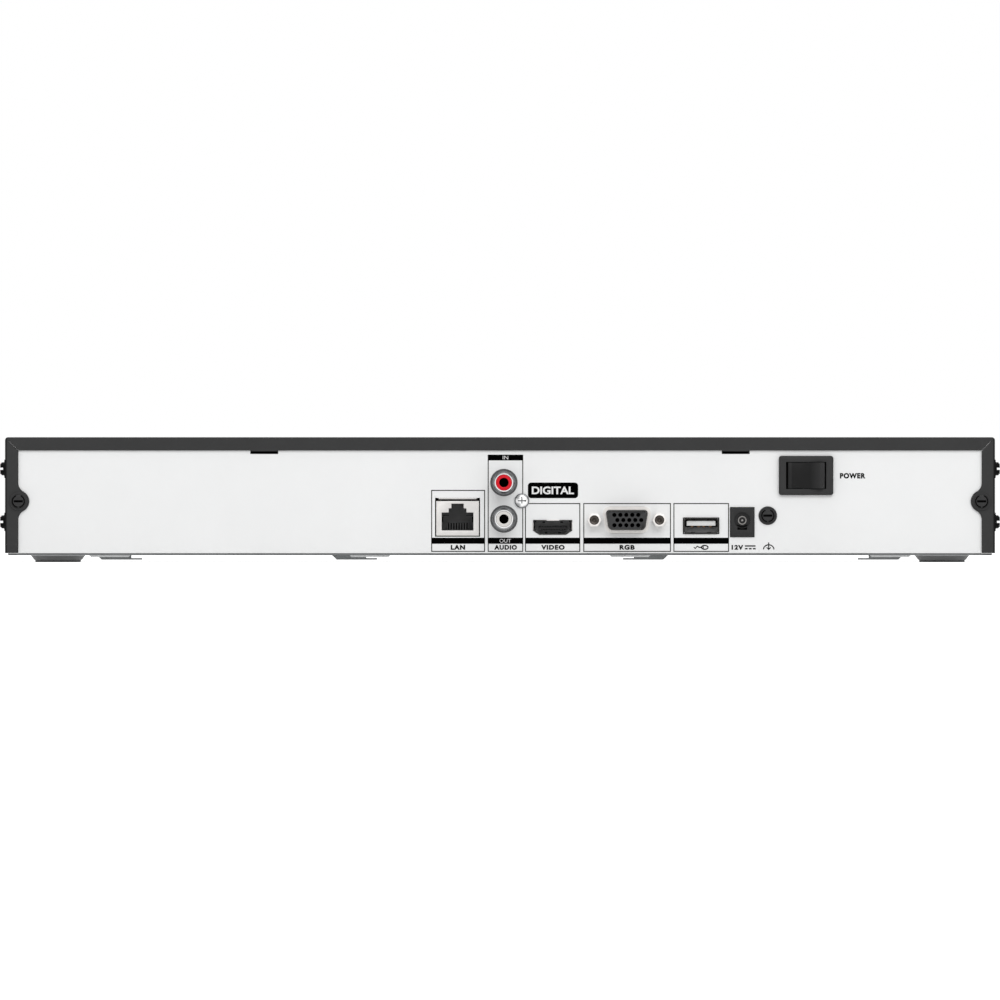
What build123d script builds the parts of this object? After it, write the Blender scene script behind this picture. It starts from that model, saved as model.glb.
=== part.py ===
from build123d import *
import os
from math import radians, tan

# A 1U video recorder for two drives. Its front faces -Y, its connectors face +Y, and +Z is up.
# Places across the rear panel (the "_across" values) are measured from its middle, to the right
# as seen from behind. Heights are measured from the surface that the recorder stands on.

# ---------------------------------------------------------------------------------------------
# Sizes in millimetres
# ---------------------------------------------------------------------------------------------

# Whole recorder
case_width = 380.0
case_height = 48.0
case_depth = 290.0          # bezel face to the rear edge of the cover
ground_gap = 3.0            # floor to the underside of the base

# Sheets and fits
cover_sheet = 0.8
base_sheet = 1.0
panel_sheet = 1.0
slip_gap = 0.15             # between pieces that slide or drop into each other
edge_gap = 0.3              # between cut edges of neighbouring sheets
screw_gap = 0.1             # round a screw's shank
snug_gap = 0.05             # round inserts in their shells

# Cover
cover_lift = 3.5            # floor to the cover's lower edges
cover_bend = 0.4            # inner radius of the top bends
rear_flange = 5.1           # width of the return round the rear panel
seam_width = 0.25
seam_inset = 1.4            # solid metal left at the outer corner
ear_height = 23.4
ear_radius = 4.2
ear_blend = 3.8
hook_across = 90.5
hook_width = 10.4
hook_drop = 0.3             # hook below the flange's edge
hook_reach = 4.0            # hook inside the panel
vent_width = 2.6
vent_length = 24.0
vent_pitch = 5.4
vent_count = 8
vent_height = 26.0
front_vent_setback = 100.0  # second vent group behind the bezel face

# Base pan
side_wall_rise = 12.0
front_wall_rise = 15.0
screw_tab_width = 20.0
screw_tab_rise = 38.5
fan_tab_width = 44.0
fan_tab_rise = 41.5
foot_inset = 14.9           # rear foot centre in from the base's side
front_foot_inset = 12.9
foot_setback = 36.0         # foot centre in from the cover's front and rear edges
dish_top_radius = 10.75
dish_foot_radius = 9.15
pad_radius = 8.65
pad_thickness = 0.9
bead_across = 50.0
bead_side_inset = 34.9      # outer bead's centre in from the base's side
bead_width = 16.2
bead_depth = 1.0
bead_length = 30.0
bead_inset = 24.0           # bead centre in from the rear panel
pocket_across = 57.3
pocket_side_inset = 37.0    # outer pocket's centre in from the base's side
pocket_width = 11.3
pocket_depth = 2.1
pocket_slope = 2.2
pocket_length = 22.0
pocket_lip = 4.2
pocket_sheet = 0.6
pocket_setback = 80.0       # pocket centre in front of the cover's rear edge

# Rear panel
panel_lift = 3.5            # floor to the panel's lower edge
panel_tab_middles = (-85.0, 125.0)
panel_tab_insets = (34.9, 19.9)     # outer feet in from the base's left and right sides
panel_tab_width = 14.0
panel_tab_depth = 10.0
rivet_radius = 1.5
rivet_head_radius = 2.6
rivet_head_rise = 0.9
rivet_crown = 0.6
slot_depth = 1.35           # hook slot below the flange's edge

# Black cover, side and ground screws
cap_flange_radius = 3.55
cap_flange_rise = 0.45
cap_head_radius = 2.65
cap_top_radius = 2.0
cap_rise = 2.1
cap_slot_width = 0.95
cap_slot_depth = 1.2
cap_shank_radius = 1.5
cap_shank_length = 5.0
side_screw_setback = 18.0   # in front of the cover's rear edge
side_screw_heights = (15.5, 35.9)
ground_across = 102.8
ground_height = 17.9
nut_radius = 3.2

# Small bright screws
pan_head_radius = 2.8
pan_head_rise = 1.8
pan_crown = 0.7
pan_shank_radius = 1.45
pan_cross_width = 0.8
pan_cross_length = 3.2
pan_cross_depth = 1.0

# Front bezel
bezel_depth = 16.0
bezel_lift = 3.2
bezel_wall = 2.4
bezel_bulge = 2.0
bezel_round = 1.6
bezel_lip = 4.0             # lip inside the cover
bezel_lip_wall = 1.5
bezel_boss_radius = 3.2
bezel_screw_across = 40.0
bezel_screw_inset = 30.0    # outer screws in from the bezel's ends
bezel_screw_height = 11.0
bezel_screw_length = 7.0
window_inset = 16.0         # window's ends in from the bezel's ends
window_height = 14.0
window_round = 2.0
window_thickness = 2.6

# Front boards
lamp_inset = 30.0           # first lamp in from the bezel's end
lamp_pitch = 12.0
lamp_count = 3
lamp_radius = 1.6
lamp_length = 5.0
lamp_board_width = 44.0
lamp_board_height = 18.0
small_board = 1.2
usb_width = 13.7
usb_height = 6.1
usb_length = 14.0
usb_sheet = 0.35
usb_round = 0.9               # outer corner of the shell
usb_tongue_width = 11.1
usb_tongue_thickness = 1.9
usb_tongue_setback = 1.2
usb_block = 3.0
usb_leg = 2.0
front_usb_inset = 42.0      # socket's middle in from the bezel's end
front_usb_height = 25.5
front_usb_board_width = 26.0
front_usb_board_depth = 14.0
front_usb_board_gap = 0.4
board_rib_width = 1.6       # ribs of the bezel that carry the two boards
board_rib_inset = 3.0       # rib middle in from a board's end

# Main board
board_width = 150.0
drive_board_gap = 19.7      # room for the drives' plugs between the drives and the board
board_thickness = 1.6
board_top = 10.2
board_middle = -30.0        # middle of the board along X
board_back_gap = 0.5
standoff_radius = 2.6
standoff_side_inset = 5.0   # standoff centres in from the board's sides
standoff_front_inset = 16.0
standoff_rear_inset = 28.0
standoff_sink_gap = 4.0         # middle standoffs beside the heat sink
processor_size = 27.0
processor_rise = 2.2
sink_size = 45.0
sink_rise = 16.0
sink_floor = 3.0
sink_fin = 1.2
sink_fins = 9
memory_width = 11.0
memory_length = 13.0
memory_rise = 1.2
memory_side_inset = 39.0       # chip middles in from the board's sides
memory_row_pitch = 15.6
can_radius = 3.15
can_rise = 8.0
can_spacing = 9.0
can_count = 3
cell_radius = 10.0
cell_thickness = 3.2
cell_holder_wall = 1.4
cell_holder_floor = 0.8
cell_side_inset = 17.0         # coin cell's middle in from the board's side

# Network socket
lan_across = -16.3
lan_width = 16.4
lan_height = 13.3
lan_length = 21.3
lan_sheet = 0.3
lan_proud = 0.4             # in front of the panel's face
lan_cut_width = 17.3
lan_cut_low = 9.8
lan_cut_high = 24.7
lan_relief = 0.55
lan_mouth_low = 12.2
lan_mouth_width = 12.2
lan_mouth_height = 6.9
lan_step_width = 6.8
lan_step_height = 1.6
lan_notch_width = 4.7
lan_notch_height = 1.8
lan_mouth_depth = 12.5
contact_count = 8
contact_pitch = 1.02
contact_width = 0.45
contact_start = 5.6         # inside the mouth
contact_rise = 3.0

# Audio jacks
audio_across = 1.5
audio_heights = (16.6, 30.6)
audio_block_width = 11.4
audio_block_top = 38.4
audio_block_depth = 14.0
audio_lug_across = 8.4
audio_lug_height = 23.6
audio_lug_radius = 3.1
barrel_reach = 8.5          # beyond the cover's rear edge
barrel_radius = 4.15
barrel_bore = 3.15
barrel_flange_radius = 5.1
barrel_flange_proud = 0.7
insulator_recess = 0.4
insulator_bore = 1.8
audio_screw_length = 5.0

# Digital video socket
video_across = 20.2
video_height = 13.4
video_width = 14.8
video_rise = 5.4
video_bevel_width = 2.4
video_bevel_rise = 1.6
video_sheet = 0.3
video_length = 11.5
video_proud = 0.6
video_tongue_width = 10.9
video_tongue_rise = 1.4
video_tongue_low = 12.4
video_tongue_setback = 0.8
video_cavity = 7.5

# Analog video socket
dsub_across = 48.7
dsub_height = 16.2
dsub_width = 16.55
dsub_rise = 7.8
dsub_slant = 80.0
dsub_round = 1.6
dsub_shell_wall = 0.5
dsub_reach = 5.6            # beyond the panel's face
dsub_collar = 1.15
dsub_collar_proud = 0.8
dsub_flange_width = 30.8
dsub_flange_sheet = 0.8
dsub_body_depth = 9.0
dsub_insert_inset = 0.4
dsub_hole_radius = 0.8
dsub_hole_depth = 4.0
dsub_pitch = 2.29
dsub_row_pitch = 1.98
jack_nut_spacing = 25.0
jack_nut_flat = 4.8
jack_nut_reach = 5.0
jack_nut_bore = 1.42
jack_nut_countersink = 0.4
jack_nut_floor = 1.0          # solid metal between the bore and the shank
jack_nut_slant = 60.0         # degrees, of the turned chamfer round the hexagon's face
jack_nut_shank = 1.35
jack_nut_drop = 0.6

# Rear USB socket
usb_across = 77.2
usb_centre_height = 14.0
usb_proud = 0.7

# Power jack
power_across = 93.0
power_width = 9.2
power_rise = 11.3
power_low = 9.75
power_proud = 0.6
power_body_depth = 11.0
power_bore_height = 16.1
power_bore_radius = 3.1
power_bore_depth = 9.0
power_pin_radius = 1.25
power_pin_base = 1.75
power_pin_recess = 0.8
power_spring_width = 3.6
power_spring_sheet = 0.5
power_slot_rise = 1.1
power_spring_length = 6.0

# Rocker switch
switch_across = 117.5
switch_height = 33.3
switch_bezel_width = 20.9
switch_bezel_rise = 15.1
switch_bezel_round = 1.0
switch_bezel_proud = 1.9
switch_body_width = 19.0
switch_body_rise = 12.9
switch_body_depth = 15.0
switch_mouth_width = 15.4
switch_mouth_rise = 10.4
switch_mouth_depth = 10.5
rocker_tilt = 11.0          # degrees either side of level
rocker_pivot_depth = 2.0    # behind the switch's face
rocker_half_length = 6.4
rocker_crest = 3.6
rocker_dish = 1.5
rocker_waist = 7.35
rocker_heel = 3.4
rocker_heel_depth = 5.2
rocker_side_gap = 0.2
pivot_radius = 1.0
pivot_engage = 0.8
terminal_width = 4.8
terminal_sheet = 0.8
terminal_length = 7.0
terminal_spacing = 9.0

# Drives
drive_across = 102.0
drive_width = 101.6
drive_length = 147.0
drive_rise = 26.1
drive_setback = 21.0        # behind the bezel face
drive_lid_sheet = 0.8
drive_corner = 3.0
drive_hole_spacing = 95.25
drive_hole_pitch = 44.45
drive_hole_inset = 61.3     # rear hole row ahead of the drive's rear face
drive_board_width = 86.0
drive_board_length = 56.0
drive_board_thickness = 1.2
drive_board_recess = 2.4
drive_connector_width = 38.0
drive_connector_depth = 6.0
drive_connector_rise = 4.4
drive_connector_low = 3.4
drive_connector_shift = 14.0
drive_screw_shank = 1.6
drive_screw_length = 4.0
plug_depth = 9.5
data_plug_width = 12.0
data_plug_shift = 12.0      # from the connector's middle, towards the recorder's middle
power_plug_width = 20.0
power_plug_shift = 7.0
socket_width = 10.0
socket_depth = 6.0
socket_rise = 9.0
socket_inset = 6.0          # socket row behind the board's front edge
power_socket_columns = (-84.0, 24.0)
data_socket_columns = (-66.0, 10.0)
lamp_socket_x = -17.0
usb_socket_x = -4.0
fan_socket_x = 38.0
switch_socket_x = -88.0
switch_socket_shift = 12.0   # behind the board's middle

# Fan
fan_size = 40.0
fan_thickness = 10.0
fan_corner = 3.0
fan_bore = 18.7
fan_hole_spacing = 32.0
fan_inset = 78.0            # fan centre in front of the cover's rear edge
fan_hub = 8.2
fan_strut = 1.6
fan_strut_width = 3.0
blade_count = 7
blade_reach = 18.0
blade_chord = 8.0
blade_sheet = 1.0
blade_pitch = 38.0
axle_radius = 1.0
running_gap = 0.12
hub_clearance = 0.4
fan_screw_length = 9.0

# Leads
thin_lead = 1.8
thick_lead = 2.4

# ---------------------------------------------------------------------------------------------
# Places worked out from the sizes
# ---------------------------------------------------------------------------------------------

half_width = case_width / 2
rear_y = (case_depth - barrel_reach) / 2            # rear edge of the cover
front_y = rear_y - case_depth                       # face of the bezel
cover_front_y = front_y + bezel_depth
panel_face_y = rear_y - cover_sheet
panel_back_y = panel_face_y - panel_sheet
window_half = half_width - rear_flange              # half the width of the panel that shows
window_top = case_height - rear_flange
base_top = ground_gap + base_sheet
base_half = window_half
base_rear_y = panel_back_y - slip_gap
wall_face_x = base_half - base_sheet                # inner face of the base's side walls
side_gap = half_width - cover_sheet - base_half     # room between side wall and cover
board_bottom = board_top - board_thickness
board_rear_y = panel_back_y - board_back_gap
drive_front_y = front_y + drive_setback
drive_rear_y = drive_front_y + drive_length
board_front_y = drive_rear_y + drive_board_gap
board_depth = board_rear_y - board_front_y
board_y = board_rear_y - board_depth / 2
side_screw_y = rear_y - side_screw_setback
fan_y = rear_y - fan_inset
front_vent_y = front_y + front_vent_setback
socket_row_y = board_front_y + socket_inset
switch_socket_y = board_y + switch_socket_shift
socket_top = board_top + socket_rise
row_columns = (*power_socket_columns, *data_socket_columns, lamp_socket_x, usb_socket_x, fan_socket_x)
socket_places = [(x, socket_row_y) for x in row_columns] + [(switch_socket_x, switch_socket_y)]
foot_places = [
    (side * (base_half - inset), y)
    for side in (-1, 1)
    for inset, y in (
        (front_foot_inset, cover_front_y + foot_setback),
        (foot_inset, rear_y - foot_setback),
    )
]
bead_y = panel_back_y - bead_inset
pocket_y = rear_y - pocket_setback
panel_tab_across = (
    panel_tab_insets[0] - base_half,
    *panel_tab_middles,
    base_half - panel_tab_insets[1],
)
bezel_screw_places = [
    (side * across, bezel_screw_height)
    for side in (-1, 1)
    for across in (bezel_screw_across, half_width - bezel_screw_inset)
]
lamp_places = [lamp_inset + number * lamp_pitch - half_width for number in range(lamp_count)]
front_usb_across = half_width - front_usb_inset
window_width = case_width - 2 * window_inset
bezel_back_y = cover_front_y - edge_gap
bezel_top = case_height - (bezel_lift - ground_gap)
bezel_middle = (bezel_lift + bezel_top) / 2
front_wall_y = cover_front_y + base_sheet
window_back_y = front_y + window_thickness
lip_half = half_width - cover_sheet - slip_gap      # the bezel's lip fits inside the cover
lip_top = case_height - cover_sheet - slip_gap
lip_low = base_top + front_wall_rise
lamp_board_y = window_back_y + lamp_length
lamp_board_middle = sum(lamp_places) / lamp_count
front_usb_board_low = front_usb_height - usb_height / 2 - small_board
front_usb_board_y = window_back_y + front_usb_board_gap
drive_screw_head = drive_screw_shank + base_sheet   # countersunk flush with the sheet
drive_screw_rows = (
    drive_rear_y - drive_hole_inset,
    drive_rear_y - drive_hole_inset - drive_hole_pitch,
)
drive_screw_places = [
    (drive + hole, row)
    for drive in (-drive_across, drive_across)
    for hole in (-drive_hole_spacing / 2, drive_hole_spacing / 2)
    for row in drive_screw_rows
]


def rear_plane(y):
    """A plane that faces backwards: its X runs right as seen from behind, its Y runs up."""
    return Plane(origin=(0, y, 0), x_dir=(-1, 0, 0), z_dir=(0, 1, 0))


def side_plane(x):
    """A plane that faces +X: its X runs towards the rear, its Y runs up."""
    return Plane.YZ.offset(x)


def outward_plane(side, y, z):
    """A plane on the cover's left or right side wall, facing outwards."""
    return Plane(origin=(side * half_width, y, z), x_dir=(0, side, 0), z_dir=(side, 0, 0))


def cap_screw(shank_length):
    """A black slotted cap screw on +Z, seated at its origin."""
    with BuildPart() as screw:
        with BuildSketch(Plane.XZ):
            with BuildLine():
                Polyline(
                    (0, -shank_length),
                    (cap_shank_radius, -shank_length),
                    (cap_shank_radius, 0),
                    (cap_flange_radius, 0),
                    (cap_flange_radius, cap_flange_rise),
                    (cap_head_radius, cap_flange_rise),
                    (cap_head_radius, cap_rise - (cap_head_radius - cap_top_radius)),
                    (cap_top_radius, cap_rise),
                    (0, cap_rise),
                    close=True,
                )
            make_face()
        revolve(axis=Axis.Z)
        with BuildSketch(Plane.XY.offset(cap_rise)):
            Rectangle(2 * cap_head_radius, cap_slot_width)
        extrude(amount=-cap_slot_depth, mode=Mode.SUBTRACT)
    return screw.part


def pan_screw(shank_length):
    """A cross-head pan screw on +Z, seated at its origin."""
    with BuildPart() as screw:
        with BuildSketch():
            Circle(pan_head_radius)
        extrude(amount=pan_head_rise)
        fillet(screw.edges().sort_by(Axis.Z)[-1], radius=pan_crown)
        with BuildSketch():
            Circle(pan_shank_radius)
        extrude(amount=-shank_length)
        with BuildSketch(Plane.XY.offset(pan_head_rise)):
            Rectangle(pan_cross_length, pan_cross_width)
            Rectangle(pan_cross_width, pan_cross_length)
        extrude(amount=-pan_cross_depth, mode=Mode.SUBTRACT)
    return screw.part


def lead(points, diameter):
    """A tube along straight runs joined by tangent arcs, each as wide as its runs allow."""
    corners = [Vector(point) for point in points]
    radii = []
    for before, corner, after in zip(corners, corners[1:], corners[2:]):
        run_in = corner - before
        run_out = after - corner
        turn = run_in.get_angle(run_out)
        shorter = min(run_in.length, run_out.length)
        radii.append(0.45 * shorter / tan(radians(turn / 2)))
    print("lead radii:", [round(radius, 1) for radius in radii])
    with BuildPart() as tube:
        with BuildLine() as route:
            FilletPolyline(*points, radius=radii)
        with BuildSketch(Plane(origin=route.line @ 0, z_dir=route.line % 0)):
            Circle(diameter / 2)
        sweep(path=route.line)
    return tube.part


def rise_and_cross(start, end, course):
    """Lead points from above a start to above an end: shares of the way, each with its height."""
    way = Vector(*end) - Vector(*start)
    return [(start[0] + way.X * share, start[1] + way.Y * share, z) for share, z in course]


def video_outline(inset):
    """The digital video shell's outline, its lower corners bevelled, drawn in by an inset."""
    half = video_width / 2 - inset
    low = video_height - video_rise / 2 + inset
    high = video_height + video_rise / 2 - inset
    with BuildSketch() as outline:
        with BuildLine():
            Polyline(
                (video_across - half, high),
                (video_across + half, high),
                (video_across + half, low + video_bevel_rise),
                (video_across + half - video_bevel_width, low),
                (video_across - half + video_bevel_width, low),
                (video_across - half, low + video_bevel_rise),
                close=True,
            )
        make_face()
    return outline.sketch


def d_outline(margin):
    """The analog video shell's D outline with a wide top, grown by a margin."""
    with BuildSketch() as outline:
        with Locations((dsub_across, dsub_height)):
            Trapezoid(
                dsub_width + 2 * margin, dsub_rise + 2 * margin, dsub_slant, rotation=180
            )
        fillet(outline.vertices(), radius=dsub_round + margin)
    return outline.sketch


def group(solid, places):
    """Copies of one solid at several places, kept apart in one node."""
    with BuildPart() as copies:
        with Locations(*places):
            add(solid)
    return copies


def save(name, builder):
    """Label a finished piece and write its STEP file."""
    builder.part.label = name
    export_step(builder.part, f"parts/{name}.step")


os.makedirs("parts", exist_ok=True)

# ---------------------------------------------------------------------------------------------
# Case
# ---------------------------------------------------------------------------------------------

# Cover: one folded sheet with a return round the rear panel and hems under its sides.
with BuildPart() as top_cover:
    with BuildSketch(rear_plane(rear_y)) as cover_outline:
        with Locations((0, (cover_lift + case_height) / 2)):
            Rectangle(case_width, case_height - cover_lift)
        fillet(cover_outline.vertices().group_by(Axis.Y)[-1], radius=cover_bend + cover_sheet)
    extrude(amount=cover_front_y - rear_y)
    with BuildSketch(rear_plane(panel_face_y)) as cover_inside:
        with Locations((0, cover_lift + cover_sheet)):
            Rectangle(
                case_width - 2 * cover_sheet,
                case_height - cover_lift - 2 * cover_sheet,
                align=(Align.CENTER, Align.MIN),
            )
        fillet(cover_inside.vertices().group_by(Axis.Y)[-1], radius=cover_bend)
    extrude(amount=cover_front_y - panel_face_y, mode=Mode.SUBTRACT)
    with BuildSketch(rear_plane(rear_y)):
        with Locations((0, cover_lift)):
            Rectangle(2 * (base_half + edge_gap), cover_sheet, align=(Align.CENTER, Align.MIN))
    extrude(amount=cover_front_y - rear_y, mode=Mode.SUBTRACT)
    # window in the rear return, with an ear for a screw on each side
    with BuildSketch(rear_plane(rear_y)) as rear_window:
        with Locations((0, cover_lift)):
            Rectangle(2 * window_half, window_top - cover_lift, align=(Align.CENTER, Align.MIN))
        with Locations((-window_half, ear_height), (window_half, ear_height)):
            Circle(ear_radius, mode=Mode.SUBTRACT)
        ear_corners = rear_window.vertices().filter_by_position(
            Axis.Y, ear_height - 1.1 * ear_radius, ear_height + 1.1 * ear_radius
        )
        fillet(ear_corners, radius=ear_blend)
    extrude(amount=-cover_sheet, mode=Mode.SUBTRACT)
    # mitred seams at the corners of the return
    with BuildSketch(rear_plane(rear_y)):
        for side in (-1, 1):
            inner_corner = Vector(side * (window_half - seam_inset), window_top - seam_inset)
            outer_corner = Vector(side * (half_width - seam_inset), case_height - seam_inset)
            with Locations((inner_corner + outer_corner) / 2):
                Rectangle(
                    (outer_corner - inner_corner).length,
                    seam_width,
                    rotation=side * (outer_corner - inner_corner).get_angle(Vector(side, 0)),
                )
    extrude(amount=-cover_sheet, mode=Mode.SUBTRACT)
    # hooks through the panel's slots
    with BuildSketch(rear_plane(rear_y)):
        with Locations((-hook_across, window_top - hook_drop), (hook_across, window_top - hook_drop)):
            Rectangle(hook_width, cover_sheet, align=(Align.CENTER, Align.MIN))
    extrude(amount=-(cover_sheet + panel_sheet + hook_reach))
    # screw holes in the ears and the sides
    with BuildSketch(rear_plane(rear_y)):
        with Locations((-window_half, ear_height), (window_half, ear_height)):
            Circle(cap_shank_radius + screw_gap)
    extrude(amount=-cover_sheet, mode=Mode.SUBTRACT)
    with BuildSketch(side_plane(0)):
        with Locations(*[(side_screw_y, height) for height in side_screw_heights]):
            Circle(cap_shank_radius + screw_gap)
        with Locations((fan_y, vent_height), (front_vent_y, vent_height)):
            with GridLocations(vent_pitch, vent_length, vent_count, 1):
                SlotOverall(vent_length, vent_width, rotation=90)
    extrude(amount=half_width, both=True, mode=Mode.SUBTRACT)
save("top_cover", top_cover)

# Base pan: floor, low side walls with taller tabs, a front wall, dished feet, beads and pockets.
with BuildPart() as base_pan:
    with BuildSketch(Plane.XY.offset(ground_gap)):
        with Locations((0, (cover_front_y + base_rear_y) / 2)):
            Rectangle(2 * base_half, base_rear_y - cover_front_y)
    extrude(amount=base_sheet)
    with BuildSketch(side_plane(-base_half)):
        with Locations((cover_front_y, base_top)):
            Rectangle(base_rear_y - cover_front_y, side_wall_rise, align=Align.MIN)
        with Locations((side_screw_y, base_top)):
            Rectangle(screw_tab_width, screw_tab_rise, align=(Align.CENTER, Align.MIN))
        with Locations(*[(side_screw_y, height) for height in side_screw_heights]):
            Circle(cap_shank_radius + screw_gap, mode=Mode.SUBTRACT)
    extrude(amount=base_sheet)
    # front wall for the bezel's screws
    with BuildSketch(rear_plane(front_wall_y)):
        with Locations((0, base_top)):
            Rectangle(2 * wall_face_x, front_wall_rise, align=(Align.CENTER, Align.MIN))
        with Locations(*bezel_screw_places):
            Circle(pan_shank_radius + screw_gap, mode=Mode.SUBTRACT)
    extrude(amount=-base_sheet)
    # dished feet
    with Locations(Plane.XY.offset(ground_gap)):
        with Locations(*foot_places):
            Cone(
                dish_foot_radius,
                dish_top_radius,
                ground_gap - pad_thickness,
                align=(Align.CENTER, Align.CENTER, Align.MAX),
            )
            with Locations((0, 0, base_sheet)):
                Cone(
                    dish_foot_radius - base_sheet,
                    dish_top_radius - base_sheet,
                    ground_gap - pad_thickness,
                    align=(Align.CENTER, Align.CENTER, Align.MAX),
                    mode=Mode.SUBTRACT,
                )
    # stiffening beads near the rear edge
    for across in (bead_across, base_half - bead_side_inset):
        for sheet, mode in ((0, Mode.ADD), (base_sheet, Mode.SUBTRACT)):
            with BuildSketch(Plane.XY.offset(ground_gap + sheet)):
                with Locations((across, bead_y)):
                    Rectangle(bead_width - sheet, bead_length - sheet)
            with BuildSketch(Plane.XY.offset(ground_gap + sheet - bead_depth)):
                with Locations((across, bead_y)):
                    Rectangle(
                        bead_width - sheet - 2 * bead_depth, bead_length - sheet - 2 * bead_depth
                    )
            loft(mode=mode)
    # pressed pockets, sloped on their outer sides, each with a free lip towards the middle
    for across in (pocket_across, base_half - pocket_side_inset):
        outer = across + pocket_width / 2
        inner = across - pocket_width / 2
        floor = ground_gap - pocket_depth
        with BuildSketch(Plane.XZ.offset(-pocket_y)):
            with BuildLine():
                Polyline(
                    (inner, ground_gap),
                    (inner, floor),
                    (outer, floor),
                    (outer + pocket_slope, ground_gap),
                    close=True,
                )
            make_face()
        extrude(amount=pocket_length / 2, both=True)
        with BuildSketch(Plane.XZ.offset(-pocket_y)):
            with BuildLine():
                Polyline(
                    (inner, base_top),
                    (inner, floor + pocket_sheet),
                    (outer - pocket_sheet, floor + pocket_sheet),
                    (outer + pocket_slope - pocket_sheet, base_top),
                    close=True,
                )
            make_face()
        extrude(amount=pocket_length / 2 - pocket_sheet, both=True, mode=Mode.SUBTRACT)
        with BuildSketch(Plane.XZ.offset(-pocket_y)):
            with Locations((inner, floor)):
                Rectangle(pocket_lip, pocket_sheet, align=(Align.MAX, Align.MIN))
        extrude(amount=pocket_length / 2, both=True)
    mirror(about=Plane.YZ)
    # tab for the fan on the +X side, with a round air hole
    with BuildSketch(side_plane(wall_face_x)):
        with Locations((fan_y, base_top)):
            Rectangle(fan_tab_width, fan_tab_rise, align=(Align.CENTER, Align.MIN))
    extrude(amount=base_sheet)
    with BuildSketch(side_plane(wall_face_x)):
        with Locations((fan_y, base_top + fan_size / 2)):
            Circle(fan_bore)
            with GridLocations(fan_hole_spacing, fan_hole_spacing, 2, 2):
                Circle(pan_shank_radius + screw_gap)
    extrude(amount=base_sheet, mode=Mode.SUBTRACT)
    # holes for the drives' screws and the panel's rivets
    with BuildSketch(Plane.XY.offset(ground_gap)):
        with Locations(*[(-across, base_rear_y - panel_tab_depth / 2) for across in panel_tab_across]):
            Circle(rivet_radius + screw_gap)
    extrude(amount=base_sheet, mode=Mode.SUBTRACT)
    with Locations(*[Plane(origin=(x, y, ground_gap), z_dir=(0, 0, -1)) for x, y in drive_screw_places]):
        CounterSinkHole(
            drive_screw_shank + screw_gap,
            drive_screw_head + screw_gap,
            depth=base_sheet,
            counter_sink_angle=90,
        )
save("base_pan", base_pan)

# Rear panel: a flat sheet with the sockets' cut-outs and four feet riveted to the base.
with BuildPart() as rear_panel:
    panel_low = cover_lift + cover_sheet + slip_gap
    panel_high = case_height - cover_sheet - slip_gap
    with BuildSketch(rear_plane(panel_face_y)):
        with Locations((0, panel_low)):
            Rectangle(
                case_width - 2 * (cover_sheet + slip_gap),
                panel_high - panel_low,
                align=(Align.CENTER, Align.MIN),
            )
        with Locations((0, panel_lift)):
            Rectangle(2 * base_half, panel_low - panel_lift, align=(Align.CENTER, Align.MIN))
    extrude(amount=-panel_sheet)
    with BuildSketch(rear_plane(base_rear_y)):
        with Locations(*[(across, base_top) for across in panel_tab_across]):
            Rectangle(panel_tab_width, panel_sheet, align=(Align.CENTER, Align.MIN))
    extrude(amount=-panel_tab_depth)
    with BuildSketch(rear_plane(panel_back_y)):
        with Locations(*[(across, base_top) for across in panel_tab_across]):
            Rectangle(panel_tab_width, panel_sheet, align=(Align.CENTER, Align.MIN))
    extrude(amount=-slip_gap)
    with BuildSketch(Plane.XY.offset(base_top)):
        with Locations(*[(-across, base_rear_y - panel_tab_depth / 2) for across in panel_tab_across]):
            Circle(rivet_radius + screw_gap)
    extrude(amount=panel_sheet, mode=Mode.SUBTRACT)
    with BuildSketch(rear_plane(panel_face_y)):
        # cover's hooks and ear screws, ground screw, audio screw
        with Locations((-hook_across, window_top - slot_depth), (hook_across, window_top - slot_depth)):
            Rectangle(
                hook_width + 2 * slip_gap,
                slot_depth - hook_drop + cover_sheet + slip_gap,
                align=(Align.CENTER, Align.MIN),
            )
        with Locations(
            (-window_half, ear_height), (window_half, ear_height), (ground_across, ground_height)
        ):
            Circle(cap_shank_radius + screw_gap)
        with Locations((audio_lug_across, audio_lug_height)):
            Circle(pan_shank_radius + screw_gap)
        # network socket, with relief notches in its upper corners
        with Locations((lan_across, lan_cut_low)):
            Rectangle(lan_cut_width, lan_cut_high - lan_cut_low, align=(Align.CENTER, Align.MIN))
        with Locations(
            *[(lan_across + side * lan_cut_width / 2, lan_cut_high) for side in (-1, 1)]
        ):
            Circle(lan_relief)
        with Locations(*[(audio_across, height) for height in audio_heights]):
            Circle(barrel_flange_radius + slip_gap)
        add(video_outline(-slip_gap))
        add(d_outline(dsub_collar + slip_gap))
        with Locations((dsub_across, dsub_height)):
            with GridLocations(jack_nut_spacing, 1, 2, 1):
                Circle(jack_nut_shank + screw_gap)
        with Locations((usb_across, usb_centre_height)):
            Rectangle(usb_width + 2 * slip_gap, usb_height + 2 * slip_gap)
        with Locations((power_across, power_low + power_rise / 2)):
            Rectangle(power_width + 2 * slip_gap, power_rise + 2 * slip_gap)
        with Locations((switch_across, switch_height)):
            Rectangle(switch_body_width + 2 * slip_gap, switch_body_rise + 2 * slip_gap)
    extrude(amount=-panel_sheet, mode=Mode.SUBTRACT)
save("rear_panel", rear_panel)

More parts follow.
